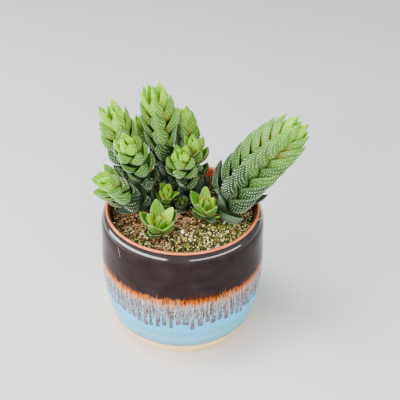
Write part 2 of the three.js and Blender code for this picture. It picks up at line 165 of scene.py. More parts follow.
class Recipe:
    """A material while it is being mixed, with one method through which every node is made."""

    def __init__(self, name: str) -> None:
        """Starts an empty material.

        Args:
            name: the material's name.
        """
        self.material = bpy.data.materials.new(name)
        self.material.use_nodes = True
        self.tree = self.material.node_tree
        self.tree.nodes.clear()
        self.place = self.node("ShaderNodeTexCoord").outputs["Object"]

    def node(
        self,
        kind: str,
        settings: dict[str, Any] | None = None,
        inputs: dict[int | str, Any] | None = None,
    ) -> bpy.types.Node:
        """Adds a node, sets it up and feeds its sockets.

        Args:
            kind: the node's type.
            settings: the node's own properties; "stops" gives a ramp's (place, colour) pairs.
            inputs: a value, Amount or socket for each named or numbered input.

        Returns:
            The node.
        """
        made = self.tree.nodes.new(kind)
        for key, value in (settings or {}).items():
            if key == "stops":
                self._set_stops(made.color_ramp, value)
            else:
                setattr(made, key, value)
        for key, value in (inputs or {}).items():
            if isinstance(value, Amount):
                value = value.socket
            if isinstance(value, bpy.types.NodeSocket):
                self.tree.links.new(value, made.inputs[key])
            else:
                made.inputs[key].default_value = value
        return made

    @staticmethod
    def _set_stops(ramp: bpy.types.ColorRamp, stops: Sequence[tuple[float, Colour]]) -> None:
        """Gives a colour ramp its stops.

        Args:
            ramp: the ramp.
            stops: each stop's place from 0 to 1 and its colour.
        """
        while len(ramp.elements) < len(stops):
            ramp.elements.new(1.0)
        for element, (place, colour) in zip(ramp.elements, stops):
            element.position = place
            element.color = colour

    def axes(self) -> tuple[Amount, Amount, Amount]:
        """The object's x, y and z in millimetres."""
        split = self.node("ShaderNodeSeparateXYZ", None, {0: self.place})
        return tuple(Amount(self, split.outputs[k]) * (1 / MM) for k in range(3))

    def noise(self, across: float, upright: float, detail: float = 2.0, seed: float = 0.0) -> Amount:
        """Soft noise around 0.5, in grains of a given size.

        Args:
            across: the grain's width across, in millimetres.
            upright: the grain's height, in millimetres.
            detail: how many finer layers it has.
            seed: a shift that makes another pattern of it.

        Returns:
            The noise.
        """
        scale = (1 / (across * MM), 1 / (across * MM), 1 / (upright * MM))
        scaled = self.node("ShaderNodeMapping", None, {"Vector": self.place, "Scale": scale}).outputs[0]
        moved = self.node("ShaderNodeVectorMath", {"operation": "ADD"}, {0: scaled, 1: (seed, seed, seed)})
        inputs = {"Vector": moved.outputs[0], "Scale": 1.0, "Detail": detail}
        return Amount(self, self.node("ShaderNodeTexNoise", None, inputs).outputs["Fac"])

    def chance(self, number: Amount) -> Amount:
        """A random number from 0 to 1 that goes with a number."""
        node = self.node("ShaderNodeTexWhiteNoise", {"noise_dimensions": "1D"}, {"W": number})
        return Amount(self, node.outputs["Value"])

    def attribute(self, name: str) -> Amount:
        """A value that the mesh carries at its points."""
        node = self.node("ShaderNodeAttribute", {"attribute_name": name})
        return Amount(self, node.outputs["Fac"])

    def mix(self, share: Any, first: Any, second: Any) -> bpy.types.NodeSocket:
        """Mixes two colours.

        Args:
            share: how much of the second there is, from 0 to 1.
            first: a colour or a colour socket.
            second: the other one.

        Returns:
            The mixed colour.
        """
        node = self.node("ShaderNodeMix", {"data_type": "RGBA"}, {0: share, 6: first, 7: second})
        return node.outputs[2]

    def layered(self, base: Any, *layers: tuple[Any, Any]) -> bpy.types.NodeSocket:
        """Lays colours over a base, one after another.

        Args:
            base: the colour below.
            layers: for each layer, its share from 0 to 1 and its colour.

        Returns:
            The mixed colour.
        """
        for share, colour in layers:
            base = self.mix(share, base, colour)
        return base

    def ramp(self, value: Amount, stops: Sequence[tuple[float, Colour]]) -> bpy.types.NodeSocket:
        """A colour that runs through stops as a value goes from 0 to 1."""
        return self.node("ShaderNodeValToRGB", {"stops": stops}, {0: value}).outputs[0]

    def finish(
        self,
        colour: Any,
        roughness: Any,
        relief: Amount | None = None,
        depth: float = 0.0,
        **fixed: Any,
    ) -> bpy.types.Material:
        """Closes the recipe with its shader.

        Args:
            colour: the base colour.
            roughness: from 0, mirror-like, to 1, dull.
            relief: a height from 0 to 1, or None where the surface is smooth.
            depth: how high that relief stands, in millimetres.
            fixed: any other inputs of the shader, the same all over.

        Returns:
            The material.
        """
        inputs = {"Base Color": colour, "Roughness": roughness}
        inputs.update({key.replace("_", " "): value for key, value in fixed.items()})
        if relief is not None:
            bump = {"Height": relief, "Distance": depth * MM, "Strength": 1.0}
            inputs["Normal"] = self.node("ShaderNodeBump", None, bump).outputs[0]
        shader = self.node("ShaderNodeBsdfPrincipled", None, inputs)
        self.node("ShaderNodeOutputMaterial", None, {0: shader.outputs[0]})
        return self.material


# Surfaces as arrays


@dataclass
class Shell:
    """A surface before it becomes a mesh: points, faces and the values that its points carry."""

    points: np.ndarray
    quads: np.ndarray
    triangles: np.ndarray
    values: dict[str, np.ndarray] = field(default_factory=dict)

    @staticmethod
    def joined(shells: Iterable["Shell"]) -> "Shell":
        """Puts several surfaces that carry the same values into one.

        Args:
            shells: the surfaces.

        Returns:
            The one surface.
        """
        listed = list(shells)
        starts = np.cumsum([0] + [len(shell.points) for shell in listed[:-1]])
        return Shell(
            np.concatenate([shell.points for shell in listed]),
            np.concatenate([shell.quads + start for shell, start in zip(listed, starts)]),
            np.concatenate([shell.triangles + start for shell, start in zip(listed, starts)]),
            {key: np.concatenate([shell.values[key] for shell in listed]) for key in listed[0].values},
        )

    def as_piece(self, name: str, material: bpy.types.Material, smooth: bool = True) -> bpy.types.Object:
        """Makes the mesh, in metres, and lets it ride on the object's body.

        Args:
            name: the piece's name.
            material: its finish.
            smooth: whether its shading runs over its faces' edges.

        Returns:
            The piece.
        """
        mesh = bpy.data.meshes.new(name)
        mesh.from_pydata((self.points * MM).tolist(), [], self.quads.tolist() + self.triangles.tolist())
        for key, numbers in self.values.items():
            layer = mesh.attributes.new(key, "FLOAT", "POINT")
            layer.data.foreach_set("value", numbers.astype(np.float32).ravel())
        mesh.polygons.foreach_set("use_smooth", np.full(len(mesh.polygons), smooth))
        mesh.materials.append(material)
        mesh.update()
        piece = bpy.data.objects.new(name, mesh)
        bpy.context.scene.collection.objects.link(piece)
        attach(piece, BODY)
        return piece


def ring_faces(rings: int, sides: int, copies: int = 1) -> tuple[np.ndarray, np.ndarray]:
    """Faces of closed tubes: quads between rings, and a fan at each end to a pole.

    The points of one tube are its rings in order, then the first and the last pole. Looked at
    from the last ring, sides run anticlockwise, so that faces point outwards.

    Args:
        rings: rings in a tube.
        sides: points in a ring.
        copies: how many such tubes follow one another.

    Returns:
        The quads and the triangles.
    """
    ring, side = np.meshgrid(np.arange(rings - 1), np.arange(sides), indexing="ij")
    here, there = ring * sides + side, ring * sides + (side + 1) % sides
    quads = np.stack([here, there, there + sides, here + sides], -1).reshape(-1, 4)
    around = np.arange(sides)
    after = (around + 1) % sides
    first_pole, last_pole = rings * sides, rings * sides + 1
    top = (rings - 1) * sides
    fans = np.concatenate(
        [
            np.stack([after, around, np.full(sides, first_pole)], -1),
            np.stack([around + top, after + top, np.full(sides, last_pole)], -1),
        ]
    )
    shift = (np.arange(copies) * (rings * sides + 2))[:, None, None]
    return (quads[None] + shift).reshape(-1, 4), (fans[None] + shift).reshape(-1, 3)


def round_steps(count: int) -> np.ndarray:
    """Evenly spaced angles once round, in radians, from 0 on."""
    return np.linspace(0, 2 * np.pi, count, endpoint=False)


def rings_round(radius: np.ndarray, height: np.ndarray, sides: int) -> np.ndarray:
    """Level rings round the upright axis.

    Args:
        radius: (n, 1) radii.
        height: (n, 1) heights.
        sides: points in a ring.

    Returns:
        The (n, sides, 3) points.
    """
    angle = round_steps(sides)
    return np.stack([radius * np.cos(angle), radius * np.sin(angle), height + 0 * angle], -1)


def turned(profile: np.ndarray, sides: int) -> Shell:
    """A solid of revolution: each profile point (radius, height) is carried once round the axis.

    Args:
        profile: points from the lower pole on the axis to the upper or inner pole on it.
        sides: points in each ring.

    Returns:
        The closed surface.
    """
    body = profile[1:-1]
    rings = rings_round(body[:, :1], body[:, 1:], sides)
    poles = np.array([[0, 0, profile[0, 1]], [0, 0, profile[-1, 1]]])
    quads, fans = ring_faces(len(body), sides)
    return Shell(np.concatenate([rings.reshape(-1, 3), poles]), quads, fans)


def smooth_profile(corners: Sequence[tuple[float, float]], spacing: float) -> np.ndarray:
    """A rounded profile: a centripetal spline through corners, read at even steps.

    Args:
        corners: the (radius, height) points that the profile passes through.
        spacing: the step, in millimetres.

    Returns:
        The profile's points.
    """
    knots = np.array(corners, float)
    padded = np.concatenate([[2 * knots[0] - knots[1]], knots, [2 * knots[-1] - knots[-2]]])
    pieces = []
    for a, b, c, d in zip(padded, padded[1:], padded[2:], padded[3:]):
        steps = max(2, math.ceil(np.linalg.norm(c - b) / spacing))
        gaps = [max(np.linalg.norm(q - p), 1e-6) ** 0.5 for p, q in ((a, b), (b, c), (c, d))]
        first = ((b - a) / gaps[0] - (c - a) / (gaps[0] + gaps[1]) + (c - b) / gaps[1]) * gaps[1]
        last = ((c - b) / gaps[1] - (d - b) / (gaps[1] + gaps[2]) + (d - c) / gaps[2]) * gaps[1]
        t = np.linspace(0, 1, steps, endpoint=False)[:, None]
        pieces.append(
            (2 * t**3 - 3 * t**2 + 1) * b
            + (t**3 - 2 * t**2 + t) * first
            + (3 * t**2 - 2 * t**3) * c
            + (t**3 - t**2) * last
        )
    return np.concatenate(pieces + [knots[-1:]])


def unit(vectors: np.ndarray) -> np.ndarray:
    """Each vector at length one."""
    return vectors / np.linalg.norm(vectors, axis=-1, keepdims=True)


def lattice_noise(places: np.ndarray, seed: int) -> np.ndarray:
    """Soft noise from -1 to 1: a random number on each whole place, blended smoothly between.

    Args:
        places: (n, 2) places; one unit is one grain.
        seed: which pattern.

    Returns:
        The noise at each place.
    """
    table = np.random.default_rng(seed).uniform(-1, 1, (64, 64))
    cell = np.floor(places).astype(int)
    part = places - cell
    ease = part * part * (3 - 2 * part)

    def corner(dx: int, dy: int) -> np.ndarray:
        """The random numbers a step away from each place's own cell."""
        return table[(cell[:, 0] + dx) % 64, (cell[:, 1] + dy) % 64]

    low = corner(0, 0) * (1 - ease[:, 0]) + corner(1, 0) * ease[:, 0]
    high = corner(0, 1) * (1 - ease[:, 0]) + corner(1, 1) * ease[:, 0]
    return low * (1 - ease[:, 1]) + high * ease[:, 1]


# Ceramic pot


@dataclass(frozen=True)
class RunRow:
    """A row of glaze runs side by side: narrow channels, each ending in a round drop."""

    pitch: float
    lowest: float
    highest: float
    channel: float
    drop: float
    seed: float

    def cover(self, mix: Recipe, around: Amount, height: Amount) -> Amount:
        """Where the runs lie.

        The way round the pot is cut into cells a pitch wide. In each, a channel comes down to a
        random height and ends in a drop: the points less than the drop's radius from its
        centre, with the distance upwards counted a little short.

        Args:
            mix: the finish that they are part of.
            around: the way round the pot, in millimetres.
            height: the height on the pot, in millimetres.

        Returns:
            1 in a run and 0 beside it.
        """
        place = around * (1 / self.pitch) + self.seed
        cell = place.whole()
        sideways = (mix.chance(cell + 0.37) - 0.5) * 0.5
        aside = (place - cell - 0.5 + sideways) * self.pitch
        above = height - (mix.chance(cell) * (self.highest - self.lowest) + self.lowest)
        from_centre = (aside * aside + above * above * 0.55).root()
        size = mix.chance(cell + 0.71) * 0.5 + 0.7
        channel = aside.size().rising(self.channel + 0.25, self.channel - 0.15) * above.rising(-0.1, 0.3)
        return channel.larger((from_centre - size * self.drop).rising(0.2, -0.2))


@dataclass(frozen=True)
class PotGlaze:
    """Two glazes that meet and run: black-brown over blue, with an orange break between them."""

    dark_edge: float = 69.5
    orange_edge: float = 63.9
    solid_edge: float = 50.5
    foot_edge: float = 15.8
    radius: float = 65.0
    wide_runs: RunRow = RunRow(pitch=5.3, lowest=40.0, highest=47.0, channel=1.3, drop=2.1, seed=3.0)
    fine_runs: RunRow = RunRow(pitch=2.7, lowest=44.0, highest=51.0, channel=0.8, drop=1.2, seed=40.0)

    def blue(self, mix: Recipe, height: Amount, cloud: Amount) -> bpy.types.NodeSocket:
        """The blue: deepest just under the runs, paler below, with faint bands and white flecks.

        Args:
            mix: the finish that it is part of.
            height: the height on the pot, in millimetres.
            cloud: broad noise that shifts its edges.

        Returns:
            The colour.
        """
        fleck = mix.noise(1.1, 1.1, 1.0, 19.0)
        band = (height * 0.55 + (cloud - 0.5) * 7.0).sine().rising(-0.2, 1.0)
        deep = mix.mix(band * 0.4, rgb(52, 188, 236), rgb(80, 198, 240))
        pale = mix.mix(band * 0.5, rgb(94, 170, 194), rgb(126, 192, 214))
        blue = mix.mix((height + (cloud - 0.5) * 16.0).rising(44.0, 25.0), deep, pale)
        return mix.mix(fleck.rising(0.7, 0.76) * 0.55, blue, rgb(226, 240, 244))

    def grey(self, mix: Recipe, height: Amount, edge: Amount) -> bpy.types.NodeSocket:
        """The runs' mottled grey: fine upright streaks, darkest where a run ends.

        Args:
            mix: the finish that it is part of.
            height: the height on the pot, in millimetres.
            edge: 1 where a run ends.

        Returns:
            The colour.
        """
        streak = mix.noise(0.9, 17.0, 2.0, 5.0)
        mottle = mix.noise(0.8, 1.7, 1.0, 13.0)
        grey = mix.ramp(
            (streak - 0.5) * 1.1 + (mottle - 0.5) * 1.0 + 0.5,
            [
                (0.3, rgb(74, 62, 60)),
                (0.43, rgb(106, 94, 92)),
                (0.53, rgb(128, 119, 121)),
                (0.62, rgb(126, 158, 176)),
                (0.74, rgb(176, 170, 171)),
            ],
        )
        warm = height.rising(57.0, 66.0) * streak.rising(0.4, 0.62)
        grey = mix.mix(warm * 0.75, grey, rgb(210, 164, 124))
        return mix.mix(edge * 0.65, grey, rgb(92, 80, 84))

    def orange(self, mix: Recipe, height: Amount, fine: Amount, patch: Amount) -> bpy.types.NodeSocket:
        """The break: rust and orange flames, strongest in patches, fading to tan below.

        Args:
            mix: the finish that it is part of.
            height: the height on the pot, in millimetres.
            fine: fine upright noise, which draws the flames.
            patch: broad noise, low where the flames are weak.

        Returns:
            The colour.
        """
        flame = mix.ramp(
            fine,
            [
                (0.34, rgb(62, 24, 6)),
                (0.45, rgb(142, 62, 6)),
                (0.6, rgb(196, 104, 16)),
                (0.76, rgb(216, 150, 70)),
            ],
        )
        tan = mix.mix(fine.rising(0.4, 0.62), rgb(152, 88, 46), rgb(210, 158, 104))
        faded = (height - self.orange_edge - 0.5).rising(3.2, -2.4).larger(patch.rising(0.44, 0.34) * 0.35)
        return mix.mix(faded, flame, tan)

    def material(self) -> bpy.types.Material:
        """Mixes the glaze by height, with edges that run down in streaks and drops.

        It lies thickest, and so shines most, on the rounded shoulder.

        Returns:
            The finish.
        """
        mix = Recipe("pot_glaze")
        x, y, height = mix.axes()
        around = x.angle_from(0 - y) * self.radius
        streaks = mix.noise(1.5, 60.0)
        fine = mix.noise(0.62, 26.0, 1.0, 7.0)
        cloud = mix.noise(16.0, 9.0, 3.0, 11.0)
        patch = mix.noise(17.0, 200.0, 1.0, 31.0)
        sway = (cloud - 0.5) * 3.0

        runs = self.wide_runs.cover(mix, around, height).larger(self.fine_runs.cover(mix, around, height))
        solid = (height - self.solid_edge + (streaks - 0.5) * 9.0 + sway).rising(-0.7, 0.7)
        covered = runs.larger(solid)
        run_end = (height + sway).rising(53.0, 43.0) * runs
        glaze = mix.mix(covered, self.blue(mix, height, cloud), self.grey(mix, height, run_end))

        into_orange = (height - self.orange_edge + (streaks - 0.5) * 15.0 + sway * 0.5).rising(-2.8, 2.0)
        glaze = mix.mix(into_orange, glaze, self.orange(mix, height, fine, patch))

        dark = mix.mix(cloud.rising(0.3, 0.8), rgb(34, 26, 25), rgb(46, 37, 37))
        over = height - self.dark_edge + (fine - 0.5) * 12.0 + (streaks - 0.5) * 7.0 + sway * 0.4
        glaze = mix.mix(over.rising(-1.0, 0.9), glaze, dark)
        rusty = over.rising(0.4, 1.4) * over.rising(5.0, 1.2) * patch.rising(0.4, 0.6)
        glaze = mix.mix(rusty * 0.6, glaze, rgb(84, 38, 14))

        low_edge = height - self.foot_edge + sway * 0.7 + (streaks - 0.5) * 5.0
        glaze = mix.mix(low_edge.rising(5.5, 0.5) * 0.6, glaze, rgb(136, 136, 136))
        grog = mix.noise(1.1, 1.1, 3.0, 23.0)
        bare = mix.ramp(
            grog,
            [(0.3, rgb(214, 174, 118)), (0.5, rgb(254, 218, 156)), (0.72, rgb(255, 236, 192))],
        )
        glazed = low_edge.rising(-0.4, 0.8)
        edge_line = low_edge.rising(-1.2, 0.4) * low_edge.rising(2.4, 0.6)
        colour = mix.mix(edge_line * 0.4, mix.mix(glazed, bare, glaze), rgb(166, 134, 108))

        roughness = 0.74 - glazed * (0.64 - (cloud - 0.5) * 0.04)
        relief = glazed * 0.5 + covered * 0.16 + over.rising(-1.5, 1.2) * 0.14
        relief = relief + (1 - glazed) * grog * 0.25
        pooled = height.rising(101.8, 104.6)
        return mix.finish(
            colour,
            roughness,
            relief,
            0.5,
            Specular_IOR_Level=0.04,
            Coat_Weight=pooled,
            Coat_Roughness=0.1,
            Coat_IOR=1.62,
        )


@dataclass
class CeramicPot:
    """The cover pot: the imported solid's own profile, rounded and turned finely."""

    height: float = 108.0
    belly: float = 65.7
    shoulder: float = 64.2
    foot: float = 50.0
    lip_inner: float = 58.3
    wall: float = 5.0
    floor: float = 6.0
    sides: int = 160
    glaze: PotGlaze = field(default_factory=PotGlaze)

    def profile(self) -> np.ndarray:
        """The section: flat foot, rounded heel, soft belly, rounded lip, and back down inside.

        Returns:
            The (n, 2) radii and heights, from the axis to the axis.
        """
        outside = [
            (self.foot, 0.0),
            (self.foot + 2.6, 0.9),
            (self.foot + 5.8, 5.0),
            (self.foot + 10.4, 13.5),
            (self.belly - 2.6, 26.0),
            (self.belly - 0.6, 42.0),
            (self.belly, 60.0),
            (self.shoulder + 0.2, 86.0),
            (self.shoulder - 0.3, 97.5),
            (self.shoulder - 0.7, 101.0),
            (self.shoulder - 1.3, 103.0),
            (self.shoulder - 2.3, 105.0),
            (self.shoulder - 3.5, 106.5),
            (self.shoulder - 4.7, 107.5),
            (self.lip_inner + 0.6, self.height),
            (self.lip_inner, 106.6),
            (self.shoulder - self.wall, 86.0),
            (self.belly - self.wall, 56.0),
            (self.belly - 2.6 - self.wall, 27.0),
            (self.foot + 3.0, 13.0),
            (self.foot - 2.5, self.floor + 1.2),
            (self.foot - 5.0, self.floor),
        ]
        curve = smooth_profile(outside, 1.2)
        curve[:, 1] = np.clip(curve[:, 1], 0.0, self.height)
        return np.concatenate([[(0.0, 0.0)], curve, [(0.0, self.floor)]])

    def build(self) -> bpy.types.Object:
        """Turns the pot and glazes it.

        Returns:
            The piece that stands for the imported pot.
        """
        piece = turned(self.profile(), self.sides).as_piece("glazed_pot", self.glaze.material())
        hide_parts("ceramic_pot")
        return piece


# Nursery pot


@dataclass(frozen=True)
class LinerPlastic:
    """Terracotta-coloured plastic: dusty, painted paler on the rolled top as light and darker down the wall
    as shade, with painted shade dark inside at the front.
    """

    def material(self) -> bpy.types.Material:
        """Mixes the plastic.

        Returns:
            The finish.
        """
        mix = Recipe("liner_plastic")
        x, y, height = mix.axes()
        cloud = mix.noise(9.0, 9.0, 3.0)
        grain = mix.noise(0.7, 0.7, 2.0, 5.0)
        # One terracotta plastic: the wall is painted darker as shade and the rolled top paler as light.
        wall = mix.mix(cloud.rising(0.3, 0.7), rgb(150, 50, 20), rgb(182, 70, 32))
        rim = mix.mix(cloud.rising(0.35, 0.7), rgb(208, 104, 50), rgb(226, 132, 72))
        colour = mix.mix(height.rising(108.0, 109.2), wall, rim)
        # Painted shade: the inner edge of the rim and the wall below it go dark brown everywhere except at
        # the back.
        inwards = (x * x + y * y).root().rising(58.9, 58.4)
        frontwards = (y + (cloud - 0.5) * 30.0).rising(34.0, 14.0)
        painted_shade_inside = inwards * frontwards * (grain.rising(0.3, 0.6) * 0.2 + 0.75)
        colour = mix.mix(painted_shade_inside, colour, rgb(50, 26, 12))
        dust = grain.rising(0.6, 0.75) * cloud.rising(0.5, 0.75)
        colour = mix.mix(dust * 0.35, colour, rgb(196, 172, 148))
        return mix.finish(colour, 0.42 + grain * 0.16, grain, 0.05, Specular_IOR_Level=0.45)


@dataclass
class NurseryPot:
    """The liner: thin tapered plastic with a rolled rim, and drain holes in its floor."""

    rim_radius: float = 60.0
    mouth: float = 57.6
    foot: float = 43.0
    wall: float = 1.0
    rim_top: float = 109.8
    rim_under: float = 108.3
    floor_under: float = 6.3
    sides: int = 144
    plastic: LinerPlastic = field(default_factory=LinerPlastic)

    def profile(self) -> np.ndarray:
        """The section: floor, tapered wall, rim rolled outwards, and back down inside.

        Returns:
            The (n, 2) radii and heights, from the axis to the axis.
        """
        roll = smooth_profile(
            [
                (self.rim_radius - 0.3, self.rim_under),
                (self.rim_radius, self.rim_under + 0.6),
                (self.rim_radius - 0.4, self.rim_top - 0.3),
                (self.rim_radius - 1.3, self.rim_top),
                (self.rim_radius - 2.4, self.rim_top - 0.3),
                (self.mouth - self.wall, self.rim_under),
            ],
            0.25,
        )
        floor_top = self.floor_under + self.wall
        return np.concatenate(
            [
                [(0.0, self.floor_under), (self.foot, self.floor_under), (self.mouth, self.rim_under)],
                roll,
                [(self.foot - self.wall, floor_top), (0.0, floor_top)],
            ]
        )

    def build(self) -> bpy.types.Object:
        """Turns the liner.

        Returns:
            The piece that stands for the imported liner.
        """
        piece = turned(self.profile(), self.sides).as_piece("rolled_rim_liner", self.plastic.material())
        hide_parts("nursery_pot")
        return piece


# Soil


@dataclass
class Ground:
    """The soil's height, and the height that leaves stay above.

    Leaves that come nearer than the cushion are lifted to the clearance or more. From the ramp's
    start inside the liner's mouth, the ground rises to the rim's top.
    """

    edge_height: float = 102.2
    mound: float = 2.2
    hollow_place: tuple[float, float] = (-20.0, 52.0)
    hollow_depth: float = 3.2
    hollow_spread: float = 160.0
    wave: float = 0.5
    mouth: float = 57.6
    rim_top: float = 109.8
    clearance: float = 0.8
    cushion: float = 4.0
    ramp_start: float = 7.0
    ramp_run: float = 4.5

    def soil(self, x: np.ndarray, y: np.ndarray) -> np.ndarray:
        """Soil height: an edge, a low mound in the middle, a hollow at the back left and waves.

        Args:
            x: places across.
            y: places from front to back.

        Returns:
            The heights.
        """
        radius = np.hypot(x, y) / self.mouth
        mound = self.mound * np.maximum(0, 1 - radius**2)
        hollow_x, hollow_y = self.hollow_place
        away = (x - hollow_x) ** 2 + (y - hollow_y) ** 2
        hollow = self.hollow_depth * np.exp(-away / self.hollow_spread)
        waves = self.wave * np.sin(0.21 * x + 1.3) * np.cos(0.17 * y - 0.4)
        return self.edge_height + mound - hollow + waves

    def height_at(self, x: float, y: float) -> float:
        """The soil's height at one place."""
        return float(self.soil(np.array([x]), np.array([y]))[0])

    def lifted(self, points: np.ndarray) -> np.ndarray:
        """Lifts points that come near the soil, or near the rim past it, smoothly above it.

        Args:
            points: (n, 3) places.

        Returns:
            The lifted places.
        """
        radius = np.hypot(points[:, 0], points[:, 1])
        step = np.clip((radius - (self.mouth - self.ramp_start)) / self.ramp_run, 0, 1)
        over_rim = step * step * (3 - 2 * step)
        soil = self.soil(points[:, 0], points[:, 1])
        ground = soil + (self.rim_top - soil) * over_rim
        span = self.cushion - self.clearance
        over = points[:, 2] - ground
        near = over < self.cushion
        result = points.copy()
        result[near, 2] = ground[near] + self.clearance + span * np.exp((over[near] - self.cushion) / span)
        return result


@dataclass(frozen=True)
class PottingMix:
    """Damp dark potting mix, with brown bark and greyish sand in it."""

    def material(self) -> bpy.types.Material:
        """Mixes the earth.

        Returns:
            The finish.
        """
        mix = Recipe("potting_mix")
        clod = mix.noise(3.2, 3.2, 4.0)
        grain = mix.noise(0.8, 0.8, 3.0, 5.0)
        patch = mix.noise(16.0, 16.0, 2.0, 9.0)
        earth = mix.ramp(
            clod * 0.6 + grain * 0.4,
            [
                (0.32, rgb(8, 5, 2)),
                (0.46, rgb(22, 15, 6)),
                (0.56, rgb(54, 38, 16)),
                (0.7, rgb(104, 80, 42)),
            ],
        )
        colour = mix.mix(patch.rising(0.45, 0.65) * 0.4, earth, rgb(66, 66, 28))
        return mix.finish(colour, 0.92, clod * 0.6 + grain * 0.4, 1.2, Specular_IOR_Level=0.25)


@dataclass(frozen=True)
class Crumbs:
    """A finish for loose crumbs whose shade differs from crumb to crumb."""

    name: str
    dark: Colour
    middle: Colour
    pale: Colour
    roughness: float = 0.85

    def material(self) -> bpy.types.Material:
        """Mixes the crumbs' colour from each one's own shade and a little grain.

        Returns:
            The finish.
        """
        mix = Recipe(self.name)
        grain = mix.noise(0.5, 0.5)
        shade = mix.attribute("shade") * 0.75 + grain * 0.25
        colour = mix.ramp(shade, [(0.12, self.dark), (0.5, self.middle), (0.88, self.pale)])
        return mix.finish(colour, self.roughness, grain, 0.25, Specular_IOR_Level=0.3)


Patch = tuple[float, float, float, float]


@dataclass(frozen=True)
class Spread:
    """How many of a thing are drawn on the soil, and the share of them that is kept there.

    A patch is a place (x, y), its size and the share that it adds round that place.
    """

    count: int
    everywhere: float = 0.0
    patches: tuple[Patch, ...] = ()

    def share(self, x: np.ndarray, y: np.ndarray) -> np.ndarray:
        """The share kept at places: the share everywhere and a soft bump for each patch.

        Args:
            x: places across.
            y: places from front to back.

        Returns:
            The shares, from 0 to 1.
        """
        kept = np.full_like(x, self.everywhere)
        for at_x, at_y, size, weight in self.patches:
            kept += weight * np.exp(-((x - at_x) ** 2 + (y - at_y) ** 2) / (2 * size**2))
        return np.clip(kept, 0, 1)


@dataclass(frozen=True)
class CrumbLayer:
    """One kind of crumb: its finish, where it lies, its least and largest radius, and its pile."""

    finish: Crumbs
    spread: Spread
    small: float
    large: float
    piled: float = 0.0


@dataclass(frozen=True)
class FibreLayer:
    """One kind of fibre: its finish, where it lies, its radii, its stride, bend and arch."""

    finish: Crumbs
    spread: Spread
    thin: float
    thick: float
    stride: float
    bend: float
    arch: float


GRIT_PATCHES = (
    (10, -37, 12, 0.42),
    (28, -41, 12, 0.55),
    (50, -6, 7, 1.0),
    (47, -26, 8, 0.8),
    (-32, -36, 14, 0.5),
    (-42, -12, 9, 0.3),
)
BARK_PATCHES = ((-38, -8, 15, 0.9), (0, -18, 9, 0.7))
CHIP_PATCHES = ((-38, -6, 10, 0.5), (2, -18, 7, 0.6))
MOSS_PATCHES = ((34, -18, 11, 1.0), (18, -36, 15, 0.8), (-34, -34, 13, 0.4))
COIR_PATCHES = ((-17, -46, 4.2, 1.0),)
HUSK_PATCHES = ((-36, 0, 8, 0.6), (-33, -14, 8, 0.45), (0, -15, 7, 0.5), (-16, -46, 4, 0.8))

CRUMB_LAYERS = [
    CrumbLayer(
        Crumbs("grit", rgb(120, 112, 44), rgb(222, 208, 126), rgb(255, 252, 214)),
        Spread(5200, 0.12, GRIT_PATCHES),
        small=0.32,
        large=0.98,
    ),
    CrumbLayer(
        Crumbs("bark_crumbs", rgb(24, 15, 7), rgb(94, 63, 34), rgb(198, 152, 100)),
        Spread(3200, 0.13, BARK_PATCHES),
        small=0.4,
        large=1.5,
        piled=0.6,
    ),
    CrumbLayer(
        Crumbs("bark_chips", rgb(14, 8, 4), rgb(52, 32, 16), rgb(150, 104, 66)),
        Spread(170, 0.02, CHIP_PATCHES),
        small=1.4,
        large=2.9,
        piled=0.8,
    ),
    CrumbLayer(
        Crumbs("moss", rgb(18, 26, 3), rgb(62, 76, 13), rgb(136, 148, 46)),
        Spread(9000, 0.1, MOSS_PATCHES),
        small=0.35,
        large=0.9,
    ),
    CrumbLayer(
        Crumbs("coir_lump", rgb(96, 48, 28), rgb(176, 112, 80), rgb(224, 172, 136)),
        Spread(3800, 0.0, COIR_PATCHES),
        small=0.45,
        large=1.0,
        piled=2.2,
    ),
]

FIBRE_LAYERS = [
    FibreLayer(
        Crumbs("dry_fibres", rgb(74, 50, 30), rgb(152, 120, 80), rgb(216, 192, 150)),
        Spread(230, 0.6),
        thin=0.1,
        thick=0.22,
        stride=1.8,
        bend=0.35,
        arch=1.3,
    ),
    FibreLayer(
        Crumbs("husk_fibres", rgb(96, 52, 22), rgb(184, 124, 76), rgb(236, 190, 140)),
        Spread(3400, 0.0, HUSK_PATCHES),
        thin=0.16,
        thick=0.38,
        stride=1.0,
        bend=0.7,
        arch=2.4,
    ),
]

MOSS_SHOOTS = Crumbs("moss_shoots", rgb(26, 42, 2), rgb(76, 96, 10), rgb(176, 180, 60))
SHOOT_SPREAD = Spread(1500, 0.0, ((36, -16, 7.5, 0.9),))
STRAYS = Crumbs("stray_straw", rgb(150, 122, 92), rgb(206, 176, 140), rgb(232, 210, 178))
FLAKES = Crumbs("white_flakes", rgb(226, 220, 206), rgb(240, 236, 224), rgb(250, 248, 240))
LEAF_TIP = Crumbs("fallen_leaf_tip", rgb(120, 180, 20), rgb(150, 206, 30), rgb(176, 222, 60), 0.5)
FLAKE_SPOTS = [(0, -29, 1.5), (2.4, -27, 0.9), (6, -33, 0.8), (26, -44, 1.1), (20, -48, 1.0)]
LEAF_TIP_SPOTS = [(27, -10, 1.3), (27.8, -9, 0.9)]


def lump_form() -> tuple[np.ndarray, np.ndarray]:
    """An icosahedron: its twelve directions, and the triples of them that lie side by side.

    Returns:
        The (12, 3) corners at length one and the (20, 3) faces, looking outwards.
    """
    golden = (1 + 5**0.5) / 2
    none = np.zeros(4)
    a, b = np.array([(one, other * golden) for one in (-1, 1) for other in (-1, 1)]).T
    thirds = [np.stack(place, -1) for place in ((none, a, b), (a, b, none), (b, none, a))]
    corners = unit(np.concatenate(thirds))
    apart = np.linalg.norm(corners[:, None] - corners[None], axis=-1)
    near = apart < 1.01 * apart[0, 1:].min()
    faces = []
    for i, j, k in combinations(range(len(corners)), 3):
        if near[i, j] and near[j, k] and near[i, k]:
            outward = np.linalg.det(corners[[i, j, k]]) > 0
            faces.append((i, j, k) if outward else (i, k, j))
    return corners, np.array(faces)


def rolled(first: np.ndarray, second: np.ndarray, angle: np.ndarray) -> tuple[np.ndarray, np.ndarray]:
    """Two coordinates turned by an angle from the first to the second."""
    cos, sin = np.cos(angle), np.sin(angle)
    return first * cos - second * sin, first * sin + second * cos


